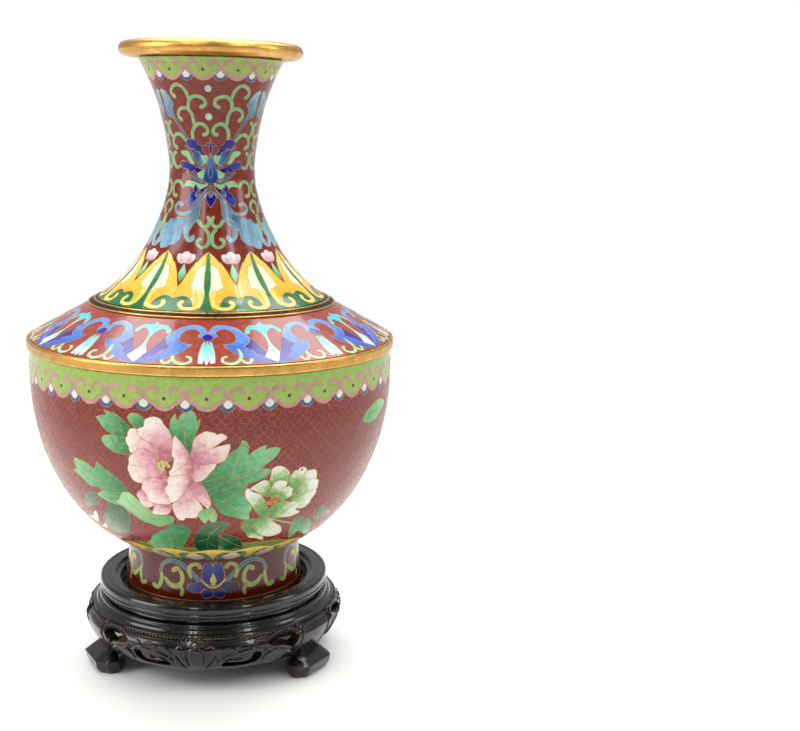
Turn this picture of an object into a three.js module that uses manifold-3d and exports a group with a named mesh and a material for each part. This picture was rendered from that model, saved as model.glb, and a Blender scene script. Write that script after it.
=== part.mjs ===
// Cloisonne vase on its carved round stand.
//
// Millimetres, +Z up, front towards -Y. The stand's three feet stand on Z = 0 and the common
// axis of stand and vase is the Z axis. The vase stands in the recess of the stand's top ring
// and lifts straight out of it. Heights of the vase are counted from the underside of its foot.

import * as THREE from 'three';
import { mergeVertices } from 'three/addons/utils/BufferGeometryUtils.js';
import Module from 'manifold-3d';

const wasm = await Module();
wasm.setup();

// ---- Driving dimensions ---------------------------------------------------------------------

const GAP = 0.3;                    // clearance between pieces that touch
const FACETS = 32;                  // sides of every turned piece

const STAND_HEIGHT = 39.3;          // floor to the top of the stand's lip
const STAND_LIP_RADIUS = 53.3;
const STAND_RECESS_RADIUS = 44;     // the vase's foot drops into this
const STAND_LIP_INNER_RADIUS = 46;
const STAND_LIP_STEP = 2;           // depth of the step inside the lip
const STAND_BAND_HEIGHT = 6.1;      // upright outer band of the top ring
const STAND_INNER_RADIUS = 47;      // inner radius shared by the ring's tongue and the seat
const RECESS_DEPTH = 7.8;           // lip to the underside of the vase's foot
const SEAT_THICKNESS = 3.3;
const SKIRT_TOP = 26;               // top of the aprons and legs
const LEG_COUNT = 3;
const FIRST_LEG = 60;               // degrees from the front
const LEG_HALF_WIDTH = 11;
const FOOT_HALF_WIDTH = 12.5;

const SHELL = 1.2;                  // copper
const SKIN = 1;                     // fused enamel outside
const LINING = 0.8;                 // fused enamel inside
const FOOT_HEIGHT = 24.6;
const FOOT_RADIUS = 41.4;           // at its underside
const FOOT_NECK_RADIUS = 39.4;      // where it meets the bowl
const FOOT_RING_HEIGHT = 1.6;
const SHOULDER_RADIUS = 83;         // of the gilt shoulder ring, the widest place
const SHOULDER_RING_LOW = 116.6;
const SHOULDER_RING_TOP = 121;
const CONE_LOW = new THREE.Vector2(82.3, SHOULDER_RING_TOP);
const CONE_HIGH = new THREE.Vector2(55, 136.2);
const NECK_RING_TOP = 138;
const NECK_TOP = 243.4;
const RIM_CENTRE = new THREE.Vector2(36.6, 247.4);
const RIM_HALF_WIDTH = 4.2;
const RIM_HALF_HEIGHT = 3.5;

// ---- Derived dimensions ---------------------------------------------------------------------

const SEAT_TOP = STAND_HEIGHT - RECESS_DEPTH - GAP;
const VASE_BASE = SEAT_TOP + GAP;
const CORE = SKIN + GAP;                    // depth of the copper below the enamel's face
const CORE_INSIDE = CORE + SHELL;
const LINING_FACE = CORE_INSIDE + GAP;
const INSIDE = LINING_FACE + LINING;        // depth of the lining's inner face
const CORE_EDGE = SHOULDER_RADIUS - 2.8;    // upright copper edges inside the shoulder ring
const FLOOR_TOP = FOOT_HEIGHT - 1.7;        // the bowl's copper floor
const FLOOR_BOTTOM = FLOOR_TOP - SHELL;

// ---- Materials ------------------------------------------------------------------------------

const material = (color, roughness, metalness) =>
  new THREE.MeshStandardMaterial({ color, roughness, metalness });

const GILT = material(0xc9993f, 0.28, 1);
const COPPER = material(0xb06a45, 0.4, 1);
const RED_ENAMEL = material(0x7a2a1d, 0.15, 0);
const TURQUOISE_ENAMEL = material(0x3f9aa6, 0.2, 0);
const BLACKWOOD = material(0x1d1514, 0.25, 0);

// ---- Shape helpers --------------------------------------------------------------------------

const p = (r, h) => new THREE.Vector2(r, h);
const radians = THREE.MathUtils.degToRad;

// A turned solid. Its outline goes round anticlockwise seen with the axis on the left, and
// either closes on itself or starts and ends on the axis.
function turned(outline) {
  const onAxis = outline[0].x === 0;
  const closed = onAxis ? outline : [...outline, outline[0].clone()];
  const lathe = new THREE.LatheGeometry(closed, FACETS);
  lathe.rotateX(Math.PI / 2);               // the lathe's axis from Y to Z
  return lathe;
}

// The curve moved inwards by a depth along its own normals.
function inset(curve, depth, count) {
  const points = [];
  for (let i = 0; i <= count; i++) {
    const t = i / count;
    const tangent = curve.getTangent(t);
    const point = curve.getPoint(t);
    points.push(p(point.x - tangent.y * depth, point.y + tangent.x * depth));
  }
  return points;
}

// A layer of a wall, between two depths below the curve of its outer face.
function layer(curve, outer, inner, count) {
  return turned([...inset(curve, outer, count), ...inset(curve, inner, count).reverse()]);
}

// Radius and height on the shoulder's straight cone, at a depth below its face.
const coneSlope = (CONE_LOW.x - CONE_HIGH.x) / (CONE_HIGH.y - CONE_LOW.y);
const coneDrop = depth => depth * Math.hypot(1, 1 / coneSlope);
const coneRadius = (h, depth) => CONE_LOW.x - (h + coneDrop(depth) - CONE_LOW.y) * coneSlope;
const coneHeight = (r, depth) => CONE_LOW.y + (CONE_LOW.x - r) / coneSlope - coneDrop(depth);
const cone = (h, depth) => p(coneRadius(h, depth), h);

// Solids for joining and cutting.
function solid(geometry) {
  const bare = geometry.clone();
  bare.deleteAttribute('normal');
  bare.deleteAttribute('uv');
  const merged = mergeVertices(bare, 1e-4);
  return new wasm.Manifold(new wasm.Mesh({
    numProp: 3,
    vertProperties: new Float32Array(merged.attributes.position.array),
    triVerts: new Uint32Array(merged.index.array),
  }));
}

function geometryOf(manifold) {
  const mesh = manifold.getMesh();
  const geometry = new THREE.BufferGeometry();
  geometry.setAttribute('position', new THREE.BufferAttribute(mesh.vertProperties, 3));
  geometry.setIndex(new THREE.BufferAttribute(mesh.triVerts, 1));
  geometry.computeVertexNormals();
  return geometry;
}

const vase = new THREE.Group();
vase.position.z = VASE_BASE;
const stand = new THREE.Group();

function add(group, name, geometry, finish, turn = 0) {
  const mesh = new THREE.Mesh(geometry, finish);
  mesh.name = name;
  mesh.rotation.z = radians(turn);
  group.add(mesh);
}

// ---- Vase: foot -----------------------------------------------------------------------------

const footRadius = (h, depth) =>
  FOOT_RADIUS + (FOOT_NECK_RADIUS - FOOT_RADIUS) * h / FOOT_HEIGHT - depth;

function footLayer(low, high, outer, inner) {
  return turned([
    p(footRadius(low, outer), low), p(footRadius(high, outer), high),
    p(footRadius(high, inner), high), p(footRadius(low, inner), low),
  ]);
}

add(vase, 'foot_ring', turned([
  p(FOOT_RADIUS + 0.2, 0), p(FOOT_RADIUS + 0.2, FOOT_RING_HEIGHT),
  p(FOOT_RADIUS - CORE_INSIDE, FOOT_RING_HEIGHT), p(FOOT_RADIUS - CORE_INSIDE - 0.6, 0),
]), GILT);
add(vase, 'foot_core', footLayer(FOOT_RING_HEIGHT + GAP, FLOOR_BOTTOM - GAP, CORE, CORE_INSIDE), COPPER);
add(vase, 'foot_enamel', footLayer(FOOT_RING_HEIGHT + GAP, FOOT_HEIGHT, 0, SKIN), RED_ENAMEL);

// Enamel under the bowl's floor, seen from below inside the foot.
const baseRadius = footRadius(FLOOR_BOTTOM, CORE_INSIDE) - GAP;
add(vase, 'base_enamel', turned([
  p(0, FLOOR_BOTTOM - GAP - LINING), p(baseRadius, FLOOR_BOTTOM - GAP - LINING),
  p(baseRadius, FLOOR_BOTTOM - GAP), p(0, FLOOR_BOTTOM - GAP),
]), TURQUOISE_ENAMEL);

// ---- Vase: bowl -----------------------------------------------------------------------------

const bowl = new THREE.SplineCurve([
  p(40.7, 25.2), p(57.2, 37.6), p(71.3, 57.4), p(79.3, 81.2), p(81.7, 101.8),
  p(81.7, SHOULDER_RING_LOW - GAP),
]);
const BOWL_STEPS = 6;

const bowlOutside = inset(bowl, CORE, BOWL_STEPS);
const bowlInside = inset(bowl, CORE_INSIDE, BOWL_STEPS);
const bowlEdge = (SHOULDER_RING_LOW + SHOULDER_RING_TOP) / 2;
add(vase, 'bowl_core', turned([
  p(0, FLOOR_BOTTOM), p(footRadius(FLOOR_BOTTOM, CORE), FLOOR_BOTTOM),
  p(footRadius(FOOT_HEIGHT, CORE), FOOT_HEIGHT), ...bowlOutside,
  p(CORE_EDGE, bowlEdge - GAP / 2), p(CORE_EDGE - SHELL, bowlEdge - GAP / 2),
  ...bowlInside.reverse(), p(footRadius(FLOOR_TOP, CORE_INSIDE), FLOOR_TOP), p(0, FLOOR_TOP),
]), COPPER);
add(vase, 'bowl_enamel', layer(bowl, 0, SKIN, BOWL_STEPS), RED_ENAMEL);

// ---- Vase: shoulder -------------------------------------------------------------------------

add(vase, 'shoulder_ring', turned([
  p(CORE_EDGE + GAP, SHOULDER_RING_LOW), p(SHOULDER_RADIUS - 0.5, SHOULDER_RING_LOW),
  p(SHOULDER_RADIUS, SHOULDER_RING_LOW + 0.6), p(SHOULDER_RADIUS, SHOULDER_RING_TOP - 0.6),
  p(SHOULDER_RADIUS - 0.5, SHOULDER_RING_TOP), p(CORE_EDGE + GAP, SHOULDER_RING_TOP),
]), GILT);
const shoulderTop = CONE_HIGH.y - GAP;
add(vase, 'shoulder_core', turned([
  p(CORE_EDGE, bowlEdge + GAP / 2), p(CORE_EDGE, coneHeight(CORE_EDGE, CORE)),
  cone(shoulderTop, CORE), cone(shoulderTop, CORE_INSIDE),
  p(CORE_EDGE - SHELL, coneHeight(CORE_EDGE - SHELL, CORE_INSIDE)),
  p(CORE_EDGE - SHELL, bowlEdge + GAP / 2),
]), COPPER);
add(vase, 'shoulder_enamel', turned([
  cone(SHOULDER_RING_TOP + GAP, 0), cone(shoulderTop, 0),
  cone(shoulderTop, SKIN), cone(SHOULDER_RING_TOP + GAP, SKIN),
]), RED_ENAMEL);

// Dark band between shoulder and neck, with a gilt edge above and below.
add(vase, 'neck_joint_ring', turned([
  cone(CONE_HIGH.y, -0.3), cone(NECK_RING_TOP, -0.3),
  cone(NECK_RING_TOP, SKIN), cone(CONE_HIGH.y, SKIN),
]), GILT);

// ---- Vase: neck and mouth -------------------------------------------------------------------

const neck = new THREE.SplineCurve([
  p(51.4, NECK_RING_TOP + GAP), p(43, 145.2), p(30.5, 160), p(21, 182), p(19.2, 198),
  p(22.1, 219), p(29.3, 238.6), p(32.2, NECK_TOP),
]);
const NECK_STEPS = 8;

const neckOutside = inset(neck, CORE, NECK_STEPS);
const neckInside = inset(neck, CORE_INSIDE, NECK_STEPS);
const collarTop = RIM_CENTRE.y + RIM_HALF_HEIGHT - 0.8;
const collarRadius = RIM_CENTRE.x - RIM_HALF_WIDTH - GAP;
add(vase, 'neck_core', turned([
  cone(CONE_HIGH.y, CORE), ...neckOutside,
  p(collarRadius, collarTop), p(collarRadius - SHELL, collarTop),
  ...neckInside.reverse(), cone(CONE_HIGH.y, CORE_INSIDE),
]), COPPER);
const skinInside = inset(neck, SKIN, NECK_STEPS);
skinInside[0].y = NECK_RING_TOP + GAP;      // level with the skin's outer edge, above the ring
add(vase, 'neck_enamel', turned([
  ...inset(neck, 0, NECK_STEPS), ...skinInside.reverse(),
]), RED_ENAMEL);

const rimOutline = [];
const RIM_SIDES = 8;
for (let i = 0; i < RIM_SIDES; i++) {
  const turn = 2 * Math.PI * i / RIM_SIDES;
  const across = RIM_HALF_WIDTH * Math.cos(turn);
  const up = RIM_HALF_HEIGHT * Math.sin(turn);
  rimOutline.push(p(RIM_CENTRE.x + across, RIM_CENTRE.y + up));
}
add(vase, 'rim_ring', turned(rimOutline), GILT);

// Enamel inside, one layer from the bowl's floor to the mouth.
function liningWall(depth) {
  const past = depth - CORE_INSIDE;
  const shoulderEdge = CORE_EDGE - SHELL - past;
  return [
    p(footRadius(FLOOR_TOP, INSIDE), FLOOR_TOP + past),
    ...inset(bowl, depth, BOWL_STEPS),
    p(shoulderEdge, coneHeight(shoulderEdge, depth)),
    cone(shoulderTop - 1, depth),
    ...inset(neck, depth, NECK_STEPS),
    p(collarRadius - SHELL - past, collarTop),
  ];
}
add(vase, 'lining', turned([
  p(0, FLOOR_TOP + GAP), ...liningWall(LINING_FACE), ...liningWall(INSIDE).reverse(),
  p(0, FLOOR_TOP + GAP + LINING),
]), TURQUOISE_ENAMEL);

// ---- Stand: rings and seat ------------------------------------------------------------------

const bandLow = STAND_HEIGHT - STAND_BAND_HEIGHT;
add(stand, 'stand_top_ring', turned([
  p(STAND_LIP_INNER_RADIUS, STAND_HEIGHT - STAND_LIP_STEP),
  p(STAND_RECESS_RADIUS, STAND_HEIGHT - STAND_LIP_STEP),
  p(STAND_RECESS_RADIUS, SEAT_TOP + GAP), p(STAND_INNER_RADIUS, SEAT_TOP + GAP),
  p(STAND_INNER_RADIUS, bandLow), p(STAND_LIP_RADIUS, bandLow),
  p(STAND_LIP_RADIUS, STAND_HEIGHT), p(STAND_LIP_INNER_RADIUS, STAND_HEIGHT),
]), BLACKWOOD);
add(stand, 'seat_panel', turned([
  p(0, SEAT_TOP - SEAT_THICKNESS), p(STAND_INNER_RADIUS, SEAT_TOP - SEAT_THICKNESS),
  p(STAND_INNER_RADIUS, SEAT_TOP), p(0, SEAT_TOP),
]), BLACKWOOD);

// Grooved waist: a deep groove, a fillet and a sloping band that runs down onto the skirt.
const waistInner = STAND_INNER_RADIUS + GAP;
const waistTop = bandLow - GAP;
add(stand, 'waist_ring', turned([
  p(waistInner, SKIRT_TOP + GAP), p(56.6, SKIRT_TOP + GAP), p(53.2, 29.9), p(52.8, 31),
  p(50.8, 31.3), p(50.8, waistTop), p(waistInner, waistTop),
]), BLACKWOOD);

// ---- Stand: aprons --------------------------------------------------------------------------

// Section of the bulging skirt, from its top outer edge down and back up inside.
const skirtSection = [
  p(56.8, SKIRT_TOP), p(47.5, SKIRT_TOP), p(47.5, 23.2), p(52.4, 22.6), p(54.4, 20.6), p(53.6, 16.4),
  p(51.6, 12.8), p(49.6, 10.2), p(54, 10.2), p(55.9, 12.6), p(57.9, 16.2), p(59.3, 19.5),
  p(59.8, 21.8), p(59, 24),
];
const SECTOR_HALF = 56;             // degrees either side of an apron's middle
const SECTOR_STEPS = 10;

// A closed piece of a turned ring, from -half to +half degrees, with its middle on -Y.
function sector(outline, half, steps) {
  const contour = outline.map(point => [point.x, point.y]);
  const positions = [];
  for (let i = 0; i <= steps; i++) {
    const angle = radians(-half + 2 * half * i / steps);
    for (const [r, h] of contour) positions.push(r * Math.sin(angle), -r * Math.cos(angle), h);
  }
  const size = contour.length;
  const index = [];
  for (let i = 0; i < steps; i++) {
    for (let j = 0; j < size; j++) {
      const a = i * size + j;
      const b = i * size + (j + 1) % size;
      index.push(a, b + size, b, a, a + size, b + size);
    }
  }
  for (const [a, b, c] of THREE.ShapeUtils.triangulateShape(outline, [])) {
    const last = steps * size;
    index.push(a, b, c, last + a, last + c, last + b);
  }
  const geometry = new THREE.BufferGeometry();
  geometry.setAttribute('position', new THREE.Float32BufferAttribute(positions, 3));
  geometry.setIndex(index);
  return geometry;
}

// A pierced opening, drawn in millimetres along the skirt and up it, as a cutter that points
// outwards through the skirt at an angle from the apron's middle.
function piercing(outline, angle, height) {
  const cutter = new THREE.ExtrudeGeometry(new THREE.Shape(outline), { depth: 30, bevelEnabled: false });
  cutter.rotateX(Math.PI / 2);
  cutter.translate(0, -40, height);
  cutter.rotateZ(radians(angle));
  return solid(cutter);
}

const eye = side => [
  p(8 * side, 0), p(6.6 * side, 3), p(2 * side, 3.8), p(-4 * side, 3.2), p(-8 * side, 1.6),
  p(-5 * side, -0.6), p(0, -1.2), p(4 * side, -2.6), p(6.6 * side, -4),
];
const crescent = side => [
  p(8 * side, 2.6), p(8.6 * side, -0.6), p(6 * side, -3), p(0, -3.8), p(-8.6 * side, -3.4),
  p(-7 * side, -1.2), p(-1 * side, -1.6), p(4 * side, -0.8), p(5.6 * side, 2.6),
];
const EYE_ANGLE = 38.5;
const EYE_HEIGHT = 21.2;
const CRESCENT_ANGLE = 20;
const CRESCENT_HEIGHT = 16.6;

function apronGeometry() {
  let apron = solid(sector(skirtSection, SECTOR_HALF, SECTOR_STEPS));
  for (const side of [-1, 1]) {
    const clearance = new THREE.BoxGeometry(2 * (LEG_HALF_WIDTH + GAP), 80, 80);
    clearance.translate(0, -40, 0);
    clearance.rotateZ(radians(side * FIRST_LEG));
    apron = apron.subtract(solid(clearance));
    apron = apron.subtract(piercing(counterClockwise(eye(side)), side * EYE_ANGLE, EYE_HEIGHT));
    const moon = counterClockwise(crescent(side));
    apron = apron.subtract(piercing(moon, side * CRESCENT_ANGLE, CRESCENT_HEIGHT));
  }
  // What is left beyond the legs is trimmed away by keeping the wedge between them.
  const wedge = new THREE.Shape([p(0, 0), p(140, -80), p(-140, -80)].reverse());
  const keep = new THREE.ExtrudeGeometry(wedge, { depth: STAND_HEIGHT, bevelEnabled: false });
  return geometryOf(apron.intersect(solid(keep)));
}

function counterClockwise(outline) {
  return THREE.ShapeUtils.isClockWise(outline) ? outline.reverse() : outline;
}

const LEG_SPACING = 360 / LEG_COUNT;
for (let i = 0; i < LEG_COUNT; i++) {
  add(stand, `apron_${i + 1}`, apronGeometry(), BLACKWOOD, i * LEG_SPACING);
}

// ---- Stand: legs ----------------------------------------------------------------------------

// Stations of a leg, from the floor up: height, inner and outer radius, half width and corner
// chamfer. The leg bulges with the skirt, draws in at the ankle and kicks out to a block foot.
const legStations = [
  [0, 48.5, 58.6, FOOT_HALF_WIDTH - 1.2, 3.6],
  [2.2, 47.2, 60.4, FOOT_HALF_WIDTH, 4],
  [6.2, 47.2, 61.2, FOOT_HALF_WIDTH, 4],
  [8.8, 48, 58.8, FOOT_HALF_WIDTH - 1, 3],
  [9.8, 48.6, 56, LEG_HALF_WIDTH, 2],
  [12.8, 50.8, 56.6, LEG_HALF_WIDTH, 1],
  [16.4, 52.2, 58.2, LEG_HALF_WIDTH, 1],
  [20.4, 52.6, 59.8, LEG_HALF_WIDTH, 1],
  [22.4, 51.4, 59.8, LEG_HALF_WIDTH, 1],
  [24, 49, 59, LEG_HALF_WIDTH, 1],
  [SKIRT_TOP, 47.5, 56.6, LEG_HALF_WIDTH, 1],
];

function legGeometry() {
  const positions = [];
  for (const [h, inner, outer, half, cut] of legStations) {
    const corners = [
      [inner, -half + cut], [inner + cut, -half], [outer - cut, -half], [outer, -half + cut],
      [outer, half - cut], [outer - cut, half], [inner + cut, half], [inner, half - cut],
    ];
    for (const [r, across] of corners) positions.push(across, -r, h);
  }
  const size = 8;
  const index = [];
  for (let i = 0; i < legStations.length - 1; i++) {
    for (let j = 0; j < size; j++) {
      const a = i * size + j;
      const b = i * size + (j + 1) % size;
      index.push(a, b, b + size, a, b + size, a + size);
    }
  }
  const top = (legStations.length - 1) * size;
  for (let j = 1; j < size - 1; j++) index.push(0, j + 1, j, top, top + j, top + j + 1);
  const geometry = new THREE.BufferGeometry();
  geometry.setAttribute('position', new THREE.Float32BufferAttribute(positions, 3));
  geometry.setIndex(index);
  geometry.computeVertexNormals();
  return geometry;
}

for (let i = 0; i < LEG_COUNT; i++) {
  add(stand, `leg_${i + 1}`, legGeometry(), BLACKWOOD, FIRST_LEG + i * LEG_SPACING);
}

const assembly = new THREE.Group();
assembly.add(stand, vase);

export default assembly;
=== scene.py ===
"""Looks of the cloisonne vase and its carved stand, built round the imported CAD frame."""
import math

import bpy
import numpy as np
from mathutils import Matrix, Vector
from mathutils.bvhtree import BVHTree
from mathutils.geometry import delaunay_2d_cdt


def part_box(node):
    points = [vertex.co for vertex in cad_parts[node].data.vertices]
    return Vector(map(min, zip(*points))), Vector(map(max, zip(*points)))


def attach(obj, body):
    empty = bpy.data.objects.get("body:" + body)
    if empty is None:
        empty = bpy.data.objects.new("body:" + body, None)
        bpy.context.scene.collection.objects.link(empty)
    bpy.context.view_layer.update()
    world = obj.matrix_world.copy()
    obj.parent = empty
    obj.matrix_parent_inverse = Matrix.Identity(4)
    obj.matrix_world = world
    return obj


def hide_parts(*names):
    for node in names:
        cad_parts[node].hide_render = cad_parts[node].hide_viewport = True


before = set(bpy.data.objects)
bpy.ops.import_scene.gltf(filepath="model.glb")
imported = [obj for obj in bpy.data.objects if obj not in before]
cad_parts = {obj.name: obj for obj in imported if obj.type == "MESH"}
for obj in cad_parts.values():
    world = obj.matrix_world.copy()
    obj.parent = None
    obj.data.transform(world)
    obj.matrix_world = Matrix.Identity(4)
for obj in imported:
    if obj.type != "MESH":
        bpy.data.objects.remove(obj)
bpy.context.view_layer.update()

# Drawing is done in millimetres and degrees, and turned into metres where a mesh is made.
# Angles run round the Z axis from the front, positive towards +X; heights on the vase are
# counted from the underside of its foot.
MM = 0.001
VASE_TURN = 6.5                 # degrees that the vase's pictures are turned on the stand
VASE_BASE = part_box("foot_ring")[0].z / MM

WIRE_WIDTH = 0.3
LATTICE_WIDTH = 0.22            # wires of the net on the ground are finer
WIRE_PROUD = 0.05               # a ground wire stands this much above the enamel
WIRE_ROOT = 0.12                # and reaches this far into it
WIRE_CROWN = 0.55               # share of its width that is left at the top
CELL_DEPTH = 0.45               # thickness of an enamel cell
SLIVER = 1e-6                   # a triangle with less than this doubled area is dropped
LINE_STEP = 0.6                 # spacing of points along a drawn line
GRID_STEP = 2.4                 # spacing of the points that carry a skin's curve
TINY = 1e-9                     # keeps a division by a length from failing


# ---- Turned surfaces ------------------------------------------------------------------------

def ring_points(node):
    """Radius and height of every ring of points of a turned CAD node, in millimetres."""
    mesh = bpy.data.objects[node].data
    found = set()
    for vertex in mesh.vertices:
        found.add((round(math.hypot(vertex.co.x, vertex.co.y) / MM, 2), round(vertex.co.z / MM, 2)))
    return sorted(found, key=lambda point: point[1])


def outer_rings(node):
    """The rings on a turned node's outer face: those that nothing of it lies outside of."""
    mesh = bpy.data.objects[node].data
    tree = BVHTree.FromPolygons([v.co for v in mesh.vertices], [p.vertices for p in mesh.polygons])
    first = mesh.vertices[0].co
    angle = math.atan2(first.y, first.x) + 0.002
    inward = Vector((-math.cos(angle), -math.sin(angle), 0))
    rings = ring_points(node)
    low, high = rings[0][1], rings[-1][1]
    outside = []
    for radius, height in rings:
        level = min(max(height, low + 0.02), high - 0.02) * MM
        hit = tree.ray_cast(Vector((0, 0, level)) - inward, inward)[0]
        if hit is not None and abs(math.hypot(hit.x, hit.y) / MM - radius) < 0.12:
            if not outside or height - outside[-1][1] > 0.05:
                outside.append((radius, height))
    return outside


def catmull(points, closed=False, per=12):
    """A Catmull-Rom line through points, as an array."""
    points = np.asarray(points, float)
    if closed:
        padded = np.vstack([points[-1:], points, points[:2]])
    else:
        padded = np.vstack([2 * points[0] - points[1], points, 2 * points[-1] - points[-2]])
    t = np.linspace(0, 1, per, endpoint=False)[:, None]
    pieces = []
    for a, b, c, d in zip(padded, padded[1:], padded[2:], padded[3:]):
        pieces.append(b + 0.5 * t * (c - a + t * (2 * a - 5 * b + 4 * c - d + t * (3 * (b - c) + d - a))))
    if not closed:
        pieces.append(points[-1:])
    return np.vstack(pieces)


class Wall:
    """A turned surface, laid out flat: x is the angle times a radius, y the length up its section."""

    def __init__(self, rings, radius, turn=VASE_TURN, base=VASE_BASE):
        section = catmull(rings, per=24) if len(rings) > 2 else np.asarray(rings, float)
        if len(section) == 2:
            section = np.linspace(section[0], section[1], 40)
        step = np.diff(section, axis=0)
        self.length = np.concatenate([[0], np.cumsum(np.hypot(step[:, 0], step[:, 1]))])
        self.section = section
        self.radius = radius
        self.turn = math.radians(turn)
        self.base = base
        slope = np.gradient(section, self.length, axis=0)
        self.normal = np.stack([slope[:, 1], -slope[:, 0]], 1)
        self.normal /= np.linalg.norm(self.normal, axis=1)[:, None]
        self.half = math.pi * radius
        self.narrow = 1.0           # draws a picture slimmer, towards the stand's front

    def up(self, height):
        """Length up the section at a height above the base."""
        return np.interp(np.asarray(height, float) + self.base, self.section[:, 1], self.length)

    def girth(self, y):
        """Radius of the wall at a length up its section."""
        return np.interp(y, self.length, self.section[:, 0])

    def chart(self, points):
        """Points given as angle in degrees and height, on the flat layout."""
        points = np.asarray(points, float)
        angle = (points[:, 0] + VASE_TURN) * self.narrow - VASE_TURN
        return np.stack([np.radians(angle) * self.radius, self.up(points[:, 1])], 1)

    def place(self, points, angle, height, size):
        """A motif drawn in millimetres, set at an angle and height of the wall."""
        points = np.asarray(points, float) * size
        y = self.up(height) + points[:, 1]
        return np.stack([math.radians(angle) * self.radius + points[:, 0] * self.radius / self.girth(y),
            y], 1)

    def lift(self, flat, height=0.0):
        """Points and normals in space, in millimetres, of points on the flat layout."""
        angle = flat[:, 0] / self.radius + self.turn
        normal_r = np.interp(flat[:, 1], self.length, self.normal[:, 0])
        normal_z = np.interp(flat[:, 1], self.length, self.normal[:, 1])
        r = self.girth(flat[:, 1]) + normal_r * height
        z = np.interp(flat[:, 1], self.length, self.section[:, 1]) + normal_z * height
        s, c = np.sin(angle), np.cos(angle)
        return (np.stack([r * s, -r * c, z], 1),
                np.stack([normal_r * s, -normal_r * c, normal_z], 1))


# ---- Drawn lines ----------------------------------------------------------------------------

def even(points, closed, step=LINE_STEP):
    """The same line with evenly spaced points, its ends and corners kept by the caller."""
    line = np.vstack([points, points[:1]]) if closed else points
    span = np.concatenate([[0], np.cumsum(np.linalg.norm(np.diff(line, axis=0), axis=1))])
    count = max(int(round(span[-1] / step)), 3 if closed else 1)
    at = np.linspace(0, span[-1], count + 1)
    if closed:
        at = at[:-1]
    return np.stack([np.interp(at, span, line[:, 0]), np.interp(at, span, line[:, 1])], 1)


def corners_of(points):
    """Indices of the points that are marked as corners by a third value."""
    return [i for i, point in enumerate(points) if len(point) > 2]


def flat_points(points):
    """The points without their corner marks."""
    return [(point[0], point[1]) for point in points]


def outline(wall_points, corners, closed=True):
    """A smooth line through chart points, with a sharp turn at each corner's index."""
    points = np.asarray(wall_points, float)
    if not corners:
        return even(catmull(points, closed), closed)
    if not closed:
        cuts = sorted({0, *corners, len(points) - 1})
        runs = [points[a:b + 1] for a, b in zip(cuts, cuts[1:])]
    else:
        points = np.roll(points, -corners[0], axis=0)
        cuts = [i - corners[0] for i in corners] + [len(points)]
        ring = np.vstack([points, points[:1]])
        runs = [ring[a:b + 1] for a, b in zip(cuts, cuts[1:])]
    pieces = []
    for run in runs:
        piece = even(catmull(run), False) if len(run) > 1 else run
        pieces.append(piece[:-1])
    if not closed:
        pieces.append(points[-1:])
    return np.vstack(pieces)


def stroke(wall, centre, widths):
    """Outline of a band that follows a centre line on the wall, its width in true millimetres."""
    line = even(catmull(centre), False, LINE_STEP * 0.8)
    squeeze = np.stack([wall.girth(line[:, 1]) / wall.radius, np.ones(len(line))], 1)
    tangent = np.gradient(line, axis=0) * squeeze
    tangent /= np.linalg.norm(tangent, axis=1)[:, None] + TINY
    side = np.stack([-tangent[:, 1], tangent[:, 0]], 1)
    half = np.interp(np.linspace(0, 1, len(line)), np.linspace(0, 1, len(widths)), widths)[:, None] / 2
    ring = [line + side * half / squeeze]
    for at, sign in ((-1, 1), (0, -1)):
        for degrees in (50, 90, 130):
            t = math.radians(degrees)
            reach = half[at] * sign * (side[at] * math.cos(t) + tangent[at] * math.sin(t))
            ring.append((line[at] + reach / squeeze[at])[None])
        if at == -1:
            ring.append((line - side * half / squeeze)[::-1])
    return np.vstack(ring)


def disc(radius, count=14):
    """A small ring of points about the origin."""
    turn = np.linspace(0, 2 * math.pi, count, endpoint=False)
    return radius * np.stack([np.cos(turn), np.sin(turn)], 1)


def inside(points, ring):
    """Which points lie inside a closed outline."""
    found = np.zeros(len(points), bool)
    near = np.all((points > ring.min(0)) & (points < ring.max(0)), axis=1)
    if not near.any():
        return found
    px, py = points[near, 0][:, None], points[near, 1][:, None]
    ax, ay = ring[:, 0], ring[:, 1]
    bx, by = np.roll(ax, -1), np.roll(ay, -1)
    rise = np.where(by == ay, 1e-12, by - ay)
    crosses = ((ay > py) != (by > py)) & (px < (bx - ax) * (py - ay) / rise + ax)
    found[near] = crosses.sum(1) % 2 == 1
    return found


# ---- A picture on a wall --------------------------------------------------------------------

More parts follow.
